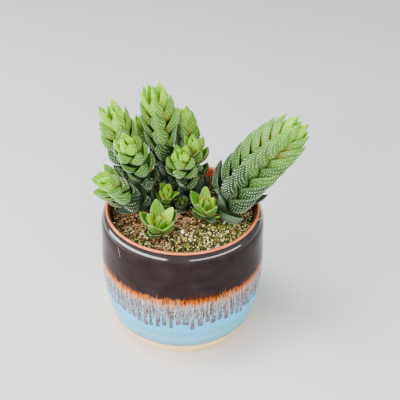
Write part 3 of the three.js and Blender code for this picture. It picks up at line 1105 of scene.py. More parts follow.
def crumb_shapes(
    centres: np.ndarray, sizes: np.ndarray, rng: np.random.Generator, stretch: float = 1.25
) -> Shell:
    """Small irregular lumps: an icosahedron with each corner pushed in or out at random.

    Each lump is stretched and flattened, tilted about x and turned about the upright.

    Args:
        centres: (n, 3) places of the lumps.
        sizes: (n,) radii.
        rng: the random draw.
        stretch: how long a lump is against its width.

    Returns:
        All the lumps, each with one random shade.
    """
    flatness = 0.75
    corners, faces = lump_form()
    count, ends = len(centres), len(corners)
    lumps = corners[None] * rng.uniform(0.7, 1.2, (count, ends, 1))
    x, y, z = np.moveaxis(lumps * np.array([stretch, 1.0, flatness]), -1, 0)
    turn = rng.uniform(0, 2 * np.pi, (count, 1))
    y, z = rolled(y, z, rng.normal(0, 0.5, (count, 1)))
    x, y = rolled(x, y, turn)
    points = np.stack([x, y, z], -1) * sizes[:, None, None] + centres[:, None]
    triangles = faces[None] + (np.arange(count) * ends)[:, None, None]
    shades = np.repeat(rng.uniform(0, 1, count), ends)
    return Shell(points.reshape(-1, 3), np.zeros((0, 4), int), triangles.reshape(-1, 3), {"shade": shades})


def strands(paths: np.ndarray, radii: np.ndarray, shades: np.ndarray, sides: int = 4) -> Shell:
    """Thin closed tubes along paths, tapering to a point at both ends.

    Args:
        paths: (n, steps, 3) points of each strand.
        radii: (n,) radius in each strand's middle.
        shades: (n,) shade of each.
        sides: corners of the section.

    Returns:
        All the strands.
    """
    count, steps, _ = paths.shape
    along = unit(np.gradient(paths, axis=1))
    helper = np.where(np.abs(along[..., 2:3]) > 0.9, np.array([1.0, 0, 0]), np.array([0, 0, 1.0]))
    side = unit(np.cross(along, helper))
    up = np.cross(side, along)
    angle = round_steps(sides)[:, None]
    around = np.cos(angle) * side[:, :, None] + np.sin(angle) * up[:, :, None]
    taper = np.sin(np.linspace(0.12, np.pi - 0.12, steps)) ** 0.4
    radius = radii[:, None, None, None] * taper[None, :, None, None]
    rings = paths[:, :, None] + radius * around
    points = np.concatenate([rings.reshape(count, -1, 3), paths[:, :1], paths[:, -1:]], 1)
    quads, fans = ring_faces(steps, sides, count)
    return Shell(points.reshape(-1, 3), quads, fans, {"shade": np.repeat(shades, steps * sides + 2)})


@dataclass
class SoilBed:
    """The soil in the liner: a rough surface, and the grit, bark, moss and fibres on it.

    Feet are the stems' feet, (x, y) and a radius that nothing is strewn in. Roughness gives
    the height, the grain and the pattern of each noise on top. The straw has a foot, the run
    from there to its end and the height that it droops by. The fibre on the pot has an angle
    in degrees, a radius and a height at its start, and the changes of these along it.
    """

    ground: Ground
    feet: list[Triple]
    floor: float = 7.6
    floor_radius: float = 41.5
    top_radius: float = 55.3
    rings: int = 56
    sides: int = 168
    fibre_steps: int = 8
    shoot_steps: int = 5
    margin: float = 0.6
    roughness: tuple[tuple[float, float, int], ...] = ((0.55, 5.0, 3), (0.35, 1.7, 4))
    seed: int = 11
    straw_foot: Triple = (50.5, -21.5, 104.6)
    straw_run: Triple = (16.0, 7.5, 11.0)
    straw_droop: float = 4.4
    fibre_start: Triple = (-138.9, 63.55, 101.8)
    fibre_run: Triple = (2.6, 0.65, -8.0)

    def surface(self) -> Shell:
        """The soil body: a floor ring, and rings over the top at the soil's height plus noise.

        Returns:
            The closed surface.
        """
        top = self.top_radius * np.linspace(1, 1 / self.rings, self.rings)
        radius = np.concatenate([[self.floor_radius], top])[:, None]
        rings = rings_round(radius, np.full_like(radius, self.floor), self.sides)
        x, y = rings[1:, :, 0], rings[1:, :, 1]
        places = np.stack([x.ravel(), y.ravel()], -1)
        rough = sum(high * lattice_noise(places / grain, seed) for high, grain, seed in self.roughness)
        rings[1:, :, 2] = self.ground.soil(x, y) + rough.reshape(x.shape)
        poles = np.array([[0, 0, self.floor], [0, 0, self.ground.height_at(0.0, 0.0)]])
        quads, fans = ring_faces(self.rings + 1, self.sides)
        return Shell(np.concatenate([rings.reshape(-1, 3), poles]), quads, fans)

    def scattered(self, spread: Spread, rng: np.random.Generator) -> np.ndarray:
        """Random places on the soil, clear of the stems' feet.

        Args:
            spread: how many are drawn, and the share that is kept.
            rng: the random draw.

        Returns:
            The (n, 3) places, on the soil.
        """
        radius = (self.top_radius - self.margin) * np.sqrt(rng.uniform(0, 1, spread.count))
        angle = rng.uniform(0, 2 * np.pi, spread.count)
        x, y = radius * np.cos(angle), radius * np.sin(angle)
        keep = rng.uniform(0, 1, spread.count) < spread.share(x, y)
        for foot_x, foot_y, size in self.feet:
            keep &= np.hypot(x - foot_x, y - foot_y) > size
        x, y = x[keep], y[keep]
        return np.stack([x, y, self.ground.soil(x, y)], -1)

    def laid(self, shell: Shell, finish: Crumbs, smooth: bool = True) -> bpy.types.Object:
        """Makes the piece of one loose layer.

        Args:
            shell: its surface.
            finish: its finish, which also names it.
            smooth: whether its shading is smooth.

        Returns:
            The piece.
        """
        piece = shell.as_piece(finish.name, finish.material(), smooth)
        return piece

    def crumbs(self, layer: CrumbLayer, rng: np.random.Generator) -> bpy.types.Object:
        """Strews one kind of crumb on the soil, mostly small ones.

        Args:
            layer: the kind.
            rng: the random draw.

        Returns:
            The piece.
        """
        places = self.scattered(layer.spread, rng)
        count = len(places)
        sizes = layer.small + (layer.large - layer.small) * rng.uniform(0, 1, count) ** 2.2
        places[:, 2] += sizes * rng.uniform(0.0, 0.55, count) + layer.piled * rng.uniform(0, 1, count)
        return self.laid(crumb_shapes(places, sizes, rng), layer.finish, smooth=False)

    def fibres(self, layer: FibreLayer, rng: np.random.Generator) -> bpy.types.Object:
        """Lays dry fibres on the soil, each a random walk that bends, sunk at its ends.

        Args:
            layer: their kind.
            rng: the random draw.

        Returns:
            The piece.
        """
        steps = self.fibre_steps
        starts = self.scattered(layer.spread, rng)
        count = len(starts)
        heading = rng.uniform(0, 2 * np.pi, (count, 1))
        heading = heading + np.cumsum(rng.normal(0, layer.bend, (count, steps)), 1)
        stride = rng.uniform(0.4, 1.0, (count, 1)) * layer.stride
        x = starts[:, :1] + np.cumsum(stride * np.cos(heading), 1)
        y = starts[:, 1:2] + np.cumsum(stride * np.sin(heading), 1)
        shrink = np.minimum(1, (self.top_radius - 1) / np.hypot(x, y))
        x, y = x * shrink, y * shrink
        arch = np.sin(np.linspace(0, np.pi, steps)) * rng.uniform(0.15, 1.0, (count, 1)) * layer.arch
        paths = np.stack([x, y, self.ground.soil(x, y) + 0.25 + arch], -1)
        radii = rng.uniform(layer.thin, layer.thick, count)
        return self.laid(strands(paths, radii, rng.uniform(0, 1, count)), layer.finish)

    def moss_blades(self, rng: np.random.Generator) -> bpy.types.Object:
        """Stands short moss shoots in the green patch: each leans off at random and bends over.

        Args:
            rng: the random draw.

        Returns:
            The piece.
        """
        starts = self.scattered(SHOOT_SPREAD, rng)
        count = len(starts)
        rise = np.linspace(0, 1, self.shoot_steps)[None, :, None]
        height = rng.uniform(0.8, 2.6, (count, 1, 1))
        lean = rng.normal(0, 0.45, (count, 1, 2)) * height
        flat = starts[:, None, :2] + lean * rise**1.6
        paths = np.concatenate([flat, starts[:, None, 2:] + height * rise], -1)
        shell = strands(paths, rng.uniform(0.18, 0.32, count), rng.uniform(0, 1, count), sides=3)
        return self.laid(shell, MOSS_SHOOTS)

    def strays(self) -> bpy.types.Object:
        """Two strays: a pale straw over the rim at the right, and a fine fibre on the pot's front.

        The straw is a line less a droop that grows with the square of the way along it. The
        fibre clings to the pot's wall, its angle, radius and height changing evenly.

        Returns:
            The piece.
        """
        t = np.linspace(0, 1, 12)
        straw = np.array(self.straw_foot) + np.array(self.straw_run) * t[:, None]
        straw[:, 2] -= self.straw_droop * t * t
        degrees, radius, height = (np.array(self.fibre_start) + np.array(self.fibre_run) * t[:, None]).T
        angle = np.radians(degrees)
        fibre = np.stack([radius * np.cos(angle), radius * np.sin(angle), height], -1)
        radii, shades = np.array([0.32, 0.11]), np.array([0.6, 0.5])
        return self.laid(strands(np.stack([straw, fibre]), radii, shades), STRAYS)

    def bits(self, finish: Crumbs, spots: list[Triple], rng: np.random.Generator) -> bpy.types.Object:
        """Drops single bits that stand out, such as white flakes.

        Args:
            finish: their finish.
            spots: each bit's place (x, y) and radius.
            rng: the random draw.

        Returns:
            The piece.
        """
        x, y, size = np.array(spots, float).T
        centres = np.stack([x, y, self.ground.soil(x, y) + 0.9 * size], -1)
        return self.laid(crumb_shapes(centres, size, rng, stretch=1.7), finish, smooth=False)

    def build(self) -> list[bpy.types.Object]:
        """Makes the bed and everything on it.

        Returns:
            The pieces; the first stands for the packed soil.
        """
        rng = np.random.default_rng(self.seed)
        bed = self.surface().as_piece("soil_bed", PottingMix().material())
        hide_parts("soil")
        made = [bed]
        made += [self.crumbs(layer, rng) for layer in CRUMB_LAYERS]
        made += [self.fibres(layer, rng) for layer in FIBRE_LAYERS]
        made += [self.moss_blades(rng), self.strays()]
        return made + [self.bits(FLAKES, FLAKE_SPOTS, rng), self.bits(LEAF_TIP, LEAF_TIP_SPOTS, rng)]


# Leaves


class LeafKind(Enum):
    """The three looks of leaves on this plant."""

    GREEN = "leaf_green"
    YOUNG = "leaf_young"
    # The dark skin is a darker grey-green copy of the leaf skin: partly the pups' own colour and partly
    # painted shade, as they sit low in the clump.
    DARK_SHADED = "leaf_dark"


LEAF_VALUES = ("along", "across", "inner", "bead", "youth", "tone", "flush", "plain")


@dataclass(frozen=True)
class LeafSkin:
    """A leaf's skin: green that pales to lime at the crown and darkens at the foot, partly as painted shade,
    with pale edges, lines and tubercles.
    """

    kind: LeafKind
    old_and_shaded: Colour
    grown: Colour
    fresh: Colour
    lime: Colour
    blush: Colour
    edge: Colour
    bead: Colour
    stripe: Colour
    stripes: float
    margins: float
    back: float

    def material(self) -> bpy.types.Material:
        """Mixes the skin from the values that the leaf's points carry.

        They are: youth, 0 at the foot and 1 at the crown; along, 0 at the root and 1 at the
        point; across, -1 to 1 from edge to edge; inner, 1 on the hollow face; bead, 1 on a
        tubercle; tone, a random number for each leaf; flush, how warm the stem's crown is; and
        plain, how clear its lower tubercles are.

        Returns:
            The finish.
        """
        mix = Recipe(self.kind.value)
        along, across, inner, bead, youth, tone, flush, plain = map(mix.attribute, LEAF_VALUES)
        cloud = mix.noise(5.0, 5.0, 3.0)
        fine = mix.noise(0.7, 0.7, 2.0, 4.0)

        # Lower leaves are darker: partly their own older green and partly painted shade on the stem's low,
        # shaded part.
        body = mix.mix((youth + (tone - 0.5) * 0.25).rising(0.1, 0.62), self.old_and_shaded, self.grown)
        ripe = (youth + inner * 0.16 + (cloud - 0.5) * 0.14 + (tone - 0.5) * 0.12).rising(0.74, 1.08)
        limy = inner.larger(youth.rising(0.84, 0.97) * 0.9)
        near_root = along.rising(0.62, 0.2)
        warm = near_root * cloud.rising(0.38, 0.54) * youth.rising(0.35, 0.85) * flush
        wavy = across * 15.0 + (cloud - 0.5) * 4.0 + (tone - 0.5) * 3.0
        stripe = wavy.sine().rising(0.1, 0.8) * along.rising(1.0, 0.75)
        margin = across.size().rising(0.8, 0.96) * (1 - bead)
        limed = youth.rising(0.5, 0.95) * (1.3 - plain)
        shown = plain + (1 - plain) * youth.rising(0.12, 0.55)
        body = mix.layered(
            body,
            (ripe, mix.mix(limy, self.fresh, self.lime)),
            (cloud.rising(0.45, 0.7) * 0.35, self.old_and_shaded),
            ((1 - inner) * self.back, self.old_and_shaded),
            (near_root * ripe * 0.2, rgb(206, 214, 70)),
            (warm, self.blush),
            (stripe * self.stripes * (0.35 + inner * 0.65), self.stripe),
            (margin * self.margins, self.edge),
            (along.rising(0.9, 1.0) * self.margins, self.edge),
            (youth.rising(0.045, 0.01) * 0.75, rgb(84, 104, 78)),
            (
                bead * (0.3 + shown * youth.rising(0.01, 0.07) * 0.65),
                mix.mix(limed, self.bead, rgb(220, 246, 140)),
            ),
        )
        roughness = 0.42 + fine * 0.14 + bead * 0.14
        relief = fine * 0.35 + stripe * 0.12
        return mix.finish(
            body,
            roughness,
            relief,
            0.12,
            Subsurface_Weight=0.08,
            Subsurface_Radius=(0.3, 0.6, 0.15),
            Subsurface_Scale=0.004,
            Specular_IOR_Level=0.3,
        )


SKINS = {
    LeafKind.GREEN: LeafSkin(
        LeafKind.GREEN,
        old_and_shaded=rgb(24, 50, 22),
        grown=rgb(88, 140, 34),
        fresh=rgb(118, 188, 4),
        lime=rgb(152, 212, 0),
        blush=rgb(216, 152, 70),
        edge=rgb(168, 204, 110),
        bead=rgb(232, 248, 208),
        stripe=rgb(54, 92, 36),
        stripes=0.4,
        margins=0.1,
        back=0.0,
    ),
    LeafKind.YOUNG: LeafSkin(
        LeafKind.YOUNG,
        old_and_shaded=rgb(32, 66, 22),
        grown=rgb(96, 156, 16),
        fresh=rgb(156, 216, 8),
        lime=rgb(176, 228, 4),
        blush=rgb(224, 150, 50),
        edge=rgb(182, 212, 124),
        bead=rgb(190, 220, 150),
        stripe=rgb(30, 84, 8),
        stripes=0.6,
        margins=0.55,
        back=0.6,
    ),
    # Darker grey-green: partly the leaves' own colour and partly painted shade for pups low among the stems.
    LeafKind.DARK_SHADED: LeafSkin(
        LeafKind.DARK_SHADED,
        old_and_shaded=rgb(42, 54, 48),
        grown=rgb(64, 86, 62),
        fresh=rgb(112, 136, 46),
        lime=rgb(136, 160, 50),
        blush=rgb(176, 112, 60),
        edge=rgb(120, 148, 100),
        bead=rgb(136, 160, 124),
        stripe=rgb(34, 56, 32),
        stripes=0.5,
        margins=0.35,
        back=0.2,
    ),
}


@dataclass
class LeafyStem:
    """One stem: its foot and crown, and how its leaves change from foot to crown.

    A triple gives a value at the foot, in the middle and at the crown. Angles are in degrees
    from the stem's own direction, where a leaf leaves the stem (open) and at its point (close).
    What leaf holds, once the stem is built, has one row for each leaf.
    """

    name: str
    foot: tuple[float, float]
    crown: Triple
    bow: Triple
    core: float
    heart: float
    reach: float
    leaves: int
    length: Triple
    width: Triple
    thick: float
    open: Triple
    close: Triple
    first: float
    spread: float
    kind: LeafKind = LeafKind.GREEN
    taper: float = 1.15
    bead_pitch: tuple[float, float] = (1.8, 1.55)
    bead_size: float = 0.5
    plain: float = 0.55
    flush: float = 0.35
    # A power on youth: more keeps the low leaves dark further up, partly for their age and partly as painted
    # shade on the stem's shaded lower part.
    ripening_and_shade: float = 1.0

    ground: Ground = field(init=False, repr=False)
    guides: np.ndarray = field(init=False, repr=False)
    spine: np.ndarray = field(init=False, repr=False)
    others: list["LeafyStem"] = field(init=False, repr=False)
    leaf: dict[str, np.ndarray] = field(init=False, repr=False)

    leaf_turn: ClassVar[float] = 144.6
    middle: ClassVar[float] = 0.45
    wrap: ClassVar[float] = 0.045
    inner_bulge: ClassVar[float] = 0.15
    curl_power: ClassVar[float] = 1.6
    curl_steps: ClassVar[int] = 48
    crown_sink: ClassVar[float] = 0.72
    crown_crowding: ClassVar[int] = 4
    crown_closing: ClassVar[int] = 3
    bud_leaves: ClassVar[int] = 3
    bud_shrink: ClassVar[float] = 0.14
    turn_spread: ClassVar[float] = 1.6
    size_spread: ClassVar[float] = 0.025
    skirt_up_to: ClassVar[float] = 0.16
    root_depth: ClassVar[float] = 15.0
    stem_gap: ClassVar[float] = 0.5
    walk_steps: ClassVar[int] = 10
    walk_limit: ClassVar[float] = 1.35
    free_share: ClassVar[float] = 0.45
    bead_rows: ClassVar[tuple[float, float]] = (0.2, 0.955)
    bead_edge: ClassVar[float] = 0.9
    bead_shake: ClassVar[float] = 0.08

    @property
    def blades(self) -> int:
        """Leaves that are drawn: the counted ones and the bud's small ones inside them."""
        return self.leaves + self.bud_leaves

    def plant(self, ground: Ground) -> None:
        """Sets the stem's axis: a curve with three guide points from the soil to the crown.

        Args:
            ground: the soil that the stem stands in.
        """
        self.ground = ground
        foot = np.array([*self.foot, ground.height_at(*self.foot) + 0.4])
        crown = np.array(self.crown)
        self.guides = np.stack([foot, (foot + crown) / 2 + np.array(self.bow), crown])
        self.spine = self.axis(np.linspace(0, 1, 7))

    def axis(self, t: np.ndarray) -> np.ndarray:
        """Places on the axis: the quadratic blend of its three guide points.

        Args:
            t: (n,) stations from 0 at the foot to 1 at the crown.

        Returns:
            The (n, 3) places.
        """
        a, b, c = self.guides
        t = t[..., None]
        return (1 - t) ** 2 * a + 2 * t * (1 - t) * b + t**2 * c

    def heading(self, t: np.ndarray) -> np.ndarray:
        """The axis's direction: the slope of the same blend.

        Args:
            t: (n,) stations from 0 at the foot to 1 at the crown.

        Returns:
            The (n, 3) directions.
        """
        a, b, c = self.guides
        t = t[..., None]
        return unit(2 * (1 - t) * (b - a) + 2 * t * (c - b))

    @staticmethod
    def across(heading: np.ndarray) -> tuple[np.ndarray, np.ndarray]:
        """Two directions square to a heading, the first one as far to the front as it goes.

        Args:
            heading: (n, 3) directions.

        Returns:
            The first and the second ones, (n, 3) each.
        """
        front = np.array([0.0, -1.0, 0.0])
        first = unit(front - (heading @ front)[..., None] * heading)
        return first, np.cross(heading, first)

    def even(self, triple: Triple, u: np.ndarray) -> np.ndarray:
        """A triple's value at u, from 0 at the foot to 1 at the crown."""
        return np.interp(u, [0, self.middle, 1], triple)

    def late(self, triple: Triple, u: np.ndarray) -> np.ndarray:
        """A triple's value that stays at its middle one until close to the crown.

        Args:
            triple: the values at the foot, in the middle and at the crown.
            u: (n,) stations from 0 at the foot to 1 at the crown.

        Returns:
            The (n,) values.
        """
        foot, middle, crown = triple
        low = foot + (middle - foot) * np.minimum(u / self.middle, 1)
        above = np.clip((u - self.middle) / (1 - self.middle), 0, 1)
        return low + (crown - middle) * above**self.crown_closing

    def nearest(self, points: np.ndarray) -> np.ndarray:
        """The point of the axis nearest to each place, on the straight pieces of its spine.

        Args:
            points: (n, 3) places.

        Returns:
            The (n, 3) nearest points.
        """
        best = np.zeros_like(points)
        distance = np.full(len(points), np.inf)
        for start, end in zip(self.spine, self.spine[1:]):
            run = end - start
            part = np.clip((points - start) @ run / (run @ run), 0, 1)
            here = start + part[:, None] * run
            gap = np.linalg.norm(points - here, axis=1)
            closer = gap < distance
            best[closer], distance[closer] = here[closer], gap[closer]
        return best

    def room(self, start: np.ndarray, way: np.ndarray, limit: float) -> np.ndarray:
        """How far out from the axis a leaf may go before a neighbour's share begins.

        Walking out along each way, the share ends where the neighbour becomes the nearer
        stem, with distances counted in each stem's own reach.

        Args:
            start: (n, 3) points on the axis.
            way: (n, 3) directions outwards.
            limit: how far out the walk goes.

        Returns:
            The (n,) distances, less the gap between stems.
        """
        room = np.full(len(start), np.inf)
        for other in self.others:
            before = np.full(len(start), -1.0)
            walking = np.ones(len(start), bool)
            for k in range(self.walk_steps + 1):
                out = limit * k / self.walk_steps
                place = start + way * out
                distance = np.linalg.norm(place - other.nearest(place), axis=1)
                excess = out / self.reach - distance / other.reach
                met = walking & (excess > 0)
                wall = limit * (k - excess[met] / (excess[met] - before[met])) / self.walk_steps
                room[met] = np.minimum(room[met], wall)
                walking &= ~met
                before = excess
        return room - self.stem_gap

    def settled(self, points: np.ndarray) -> np.ndarray:
        """Draws points in clear of the neighbours and lifts them clear of the ground.

        Points in the free share of the room stay where they are. The rest of the way out, up
        to the walk's limit, is squeezed evenly into what is left of the room.

        Args:
            points: (n, 3) leaf points as the stem alone would hold them.

        Returns:
            The points where they come to rest.
        """
        start = self.nearest(points)
        offset = points - start
        distance = np.linalg.norm(offset, axis=1)
        outer = distance > 0.5 * self.core
        out, way = distance[outer], offset[outer] / distance[outer, None]
        limit = self.walk_limit * self.reach
        room = self.room(start[outer], way, limit)
        free = self.free_share * room
        squeezed = free + (out - free) * (room - free) / (limit - free)
        drawn = np.minimum(np.where(out < free, out, squeezed), out)
        result = points.copy()
        result[outer] = start[outer] + way * np.where(room < limit, drawn, out)[:, None]
        return self.ground.lifted(result)

    def frames(self, rng: np.random.Generator) -> dict[str, np.ndarray]:
        """Each leaf's place, directions and sizes, with a small random difference.

        Args:
            rng: the random draw.

        Returns:
            Arrays with one row a leaf.
        """
        number = np.arange(self.blades)
        late = np.maximum(0, number - (self.leaves - 1))
        small = 1 - self.bud_shrink * late
        u = np.minimum(number / (self.leaves - 1), 1)
        heading = self.heading(u)
        first, second = self.across(heading)
        degrees = self.first + number * self.leaf_turn + rng.normal(0, self.turn_spread, self.blades)
        turn = np.radians(degrees)[:, None]
        outward = first * np.cos(turn) + second * np.sin(turn)
        length = self.even(self.length, u) * small * rng.normal(1, self.size_spread, self.blades)
        width = self.even(self.width, u) * small**2 * rng.normal(1, self.size_spread, self.blades)
        skirt = self.spread * np.maximum(0, 1 - u / self.skirt_up_to)
        sink = self.crown_sink * length * u**self.crown_crowding
        return {
            "u": u,
            "heading": heading,
            "outward": outward,
            "sideways": np.cross(heading, outward),
            "length": length,
            "width": width,
            "open": (self.late(self.open, u) + 0.4 * skirt) * small**3,
            "close": self.late(self.close, u) + skirt - 4 * late,
            "start": self.core * (1 - 0.75 * u**3) * small,
            "root": self.axis(u) - sink[:, None] * heading,
        }

    def outline(self, s: np.ndarray) -> np.ndarray:
        """A leaf's half width at s against its widest: egg-shaped, more pointed with more taper."""
        return np.maximum(1 - s**2.2, 0) ** self.taper * (0.78 + 0.9 * s - 0.55 * s * s)

    def lean(self, s: np.ndarray) -> np.ndarray:
        """The leaves' lean at s, in radians: it closes with a power of the way to the point."""
        opening, close = self.leaf["open"][:, None], self.leaf["close"][:, None]
        return np.radians(close + (opening - close) * (1 - s) ** self.curl_power)

    def backwards(self, s: np.ndarray) -> np.ndarray:
        """The (n, m, 3) directions out of the leaves' backs at s."""
        lean = self.lean(s)[..., None]
        return self.leaf["outward"][:, None] * np.cos(lean) - self.leaf["heading"][:, None] * np.sin(lean)

    def centre_line(self, s: np.ndarray) -> tuple[np.ndarray, np.ndarray]:
        """A leaf's curl: its lean, summed in small steps along its length.

        Args:
            s: (n, m) stations from 0 at the root to 1 at the point.

        Returns:
            The distances out from the axis and up along it, (n, m) each.
        """
        steps = self.curl_steps
        middles = (np.arange(steps) + 0.5) / steps
        angle = self.lean(np.broadcast_to(middles, (self.blades, steps)))
        step = (self.leaf["length"] / steps)[:, None]
        zero = np.zeros((self.blades, 1))
        outs = np.concatenate([zero, np.cumsum(np.sin(angle) * step, 1)], 1) + self.leaf["start"][:, None]
        ups = np.concatenate([zero, np.cumsum(np.cos(angle) * step, 1)], 1)
        low = np.minimum((s * steps).astype(int), steps - 1)
        part = s * steps - low
        row = np.arange(self.blades)[:, None]
        out = outs[row, low] * (1 - part) + outs[row, low + 1] * part
        up = ups[row, low] * (1 - part) + ups[row, low + 1] * part
        return out, up

    def skin_points(self, s: np.ndarray, v: np.ndarray, inner: np.ndarray, proud: float = 0.0) -> np.ndarray:
        """Points on the leaves' skin.

        Across a section, the back bulges by thickness times (1 - |v| to a power that sharpens
        to a keel near the point), the hollow face bulges less, and both are wrapped round the
        stem by an amount that grows with the square of the distance from the middle.

        Args:
            s: (n, m) stations along each leaf.
            v: (n, m) stations across, -1 to 1.
            inner: (n, m) 1 on the hollow face and 0 on the back.
            proud: how far outside the skin the points lie.

        Returns:
            The (n, m, 3) points.
        """
        out, up = self.centre_line(s)
        half = self.leaf["width"][:, None] * self.outline(s)
        thickness = self.thick * np.maximum(1 - s**2.6, 0) ** 0.9 * (0.8 + 0.6 * s * (1 - s))
        keel = 2.2 - 0.7 * s**2
        back_bulge = thickness * (1 - np.abs(v) ** keel) + proud
        inner_bulge = -self.inner_bulge * thickness * (1 - v**2)
        behind = np.where(inner > 0.5, inner_bulge, back_bulge) - self.wrap * (half * v) ** 2
        outward, heading, sideways = (self.leaf[key][:, None] for key in ("outward", "heading", "sideways"))
        centre = self.leaf["root"][:, None] + outward * out[..., None] + heading * up[..., None]
        return centre + sideways * (half * v)[..., None] + self.backwards(s) * behind[..., None]

    def values(
        self, along: np.ndarray, across: np.ndarray, inner: np.ndarray, bead: float
    ) -> dict[str, np.ndarray]:
        """The values that leaf points carry, in the order of LEAF_VALUES.

        Args:
            along: (n, m) stations from root to point.
            across: (n, m) stations from edge to edge.
            inner: (n, m) 1 on the hollow face.
            bead: 1 on tubercles and 0 elsewhere.

        Returns:
            Flat arrays by name.
        """
        youth = self.leaf["u"][:, None] ** self.ripening_and_shade
        tone = np.random.default_rng(len(self.name)).uniform(0, 1, self.blades)[:, None]
        given = (along, across, inner, bead, youth, tone, self.flush, self.plain)
        wide = (np.broadcast_to(value, along.shape).reshape(-1) for value in given)
        return dict(zip(LEAF_VALUES, wide))

    def leaf_shell(self) -> Shell:
        """All leaves of the stem: a grid of stations along and around each, closed at both ends.

        Returns:
            The surface with the values that the skin reads.
        """
        rows, back_columns, inner_columns = 15, 11, 7
        stations = 1 - (1 - np.linspace(0.04, 1, rows, endpoint=False)) ** 1.15
        back_v = -np.cos(np.linspace(0, np.pi, back_columns))
        inner_v = np.cos(np.linspace(0, np.pi, inner_columns))[1:-1]
        columns = back_columns + len(inner_v)
        s_grid = np.concatenate([np.repeat(stations, columns), [stations[0], 1.0]])
        v_grid = np.concatenate([np.tile(np.concatenate([back_v, inner_v]), rows), [0.0, 0.0]])
        inner_grid = np.concatenate([np.tile(np.arange(columns) >= back_columns, rows), [0.0, 0.0]])
        grids = [np.broadcast_to(grid, (self.blades, len(grid))) for grid in (s_grid, v_grid, inner_grid)]
        points = self.skin_points(*grids)
        points[:, -2] = self.leaf["root"]
        points = self.settled(points.reshape(-1, 3))
        quads, fans = ring_faces(rows, columns, self.blades)
        return Shell(points, quads[:, ::-1], fans[:, ::-1], self.values(*grids, 0.0))

    def bead_places(self) -> tuple[np.ndarray, np.ndarray, np.ndarray, np.ndarray]:
        """Where tubercles sit: on lines a pitch apart, along and across each leaf's back.

        Every other line is shifted by half a pitch, each bead is shaken a little, and those
        past the leaf's edge are left out.

        Returns:
            Stations along and across, the half width there and which beads are kept, each (n, m).
        """
        longest, widest = self.leaf["length"].max(), self.leaf["width"].max()
        row_gap, bead_gap = self.bead_pitch
        lines = int(widest / bead_gap)
        rows = np.arange(*self.bead_rows, row_gap / longest)
        s, x = np.meshgrid(rows, np.arange(-lines, lines + 1) * bead_gap, indexing="ij")
        x = x + np.where(np.arange(len(rows)) % 2, 0.5 * bead_gap, 0)[:, None]
        s = np.broadcast_to(s.ravel(), (self.blades, s.size))
        half = self.leaf["width"][:, None] * self.outline(s)
        v = x.ravel() / half
        kept = np.abs(v) < self.bead_edge
        shake = np.random.default_rng(5).normal(0, self.bead_shake, (2, *s.shape))
        s = np.clip(s + shake[0] * bead_gap / longest, 0, 0.98)
        v = np.clip(v + shake[1] * bead_gap / widest, -0.92, 0.92)
        return s, v, half, kept

    def bead_shell(self) -> Shell:
        """Tubercles: small closed beads on the back of every leaf, square to its skin.

        Returns:
            The surface with the values that the skin reads.
        """
        s, v, half, kept = self.bead_places()
        none = np.zeros_like(s)
        centres = self.skin_points(s, v, none, proud=0.02)
        side = np.broadcast_to(self.leaf["sideways"][:, None], centres.shape)
        slope = (self.thick * 1.5 * np.abs(v) ** 0.8 * np.sign(v) / half)[..., None]
        normal = unit(self.backwards(s) + side * slope)
        ahead = unit(np.cross(normal, side))
        side = np.cross(ahead, normal)
        size = self.bead_size * (1.08 - 0.18 * self.leaf["u"][:, None]) * (1 - 0.35 * np.abs(2 * s - 1.2))
        corners = 5
        angle = round_steps(corners)[:, None]
        ring = side[kept][:, None] * np.cos(angle) + ahead[kept][:, None] * np.sin(angle)
        peak = normal[kept][:, None]
        beads = np.concatenate([ring, peak * 0.85, -peak * 0.8], 1) * size[kept][:, None, None]
        points = beads + self.settled(centres[kept])[:, None]
        quads, fans = ring_faces(1, corners, len(points))
        values = self.values(s, v, none, 1.0)
        picked = {key: np.repeat(value[kept.ravel()], corners + 2) for key, value in values.items()}
        return Shell(points.reshape(-1, 3), quads, fans, picked)

    def heart_shell(self) -> Shell:
        """The rooted axis and heart that the leaves stand out of: rings along the axis.

        Returns:
            The closed surface.
        """
        sides, neck = 16, 0.95 * self.core
        t = np.array([0, 0.1, 0.2, 0.35, 0.5, 0.65, 0.75, 0.82, 0.88])
        radii = np.where(t < 0.2, neck + (self.heart - neck) * t / 0.2, self.heart) * (1 - 0.85 * t**3)
        radii = np.concatenate([[0.5 * self.core], radii])
        centres = np.concatenate([self.guides[:1] - [0, 0, self.root_depth], self.axis(t)])
        upright = [[0, 0, 1.0]]
        heading = np.concatenate([upright, upright, self.heading(t[1:])])
        first, second = self.across(heading)
        angle = round_steps(sides)[:, None]
        around = first[:, None] * np.cos(angle) + second[:, None] * np.sin(angle)
        rings = centres[:, None] + around * radii[:, None, None] * 0.97
        points = np.concatenate([rings.reshape(-1, 3), centres[:1], centres[-1:]])
        quads, fans = ring_faces(len(centres), sides)
        return Shell(points, quads, fans, dict.fromkeys(LEAF_VALUES, np.zeros(len(points))))

    def build(self, stems: list["LeafyStem"], skin: bpy.types.Material) -> bpy.types.Object:
        """Makes the stem with its leaves and tubercles.

        Args:
            stems: every stem of the clump.
            skin: the leaves' finish.

        Returns:
            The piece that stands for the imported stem.
        """
        self.others = [stem for stem in stems if stem is not self]
        self.leaf = self.frames(np.random.default_rng(100 + len(self.name) + self.leaves))
        whole = Shell.joined([self.heart_shell(), self.leaf_shell(), self.bead_shell()])
        piece = whole.as_piece(self.name + "_leaves", skin)
        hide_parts(self.name)
        return piece


young_pup = partial(LeafyStem, kind=LeafKind.YOUNG, taper=0.8, bead_size=0.24)
# Low pups in the clump get the darker skin, partly as painted shade.
shaded_dark_pup = partial(LeafyStem, kind=LeafKind.DARK_SHADED, taper=0.8, bead_size=0.2)

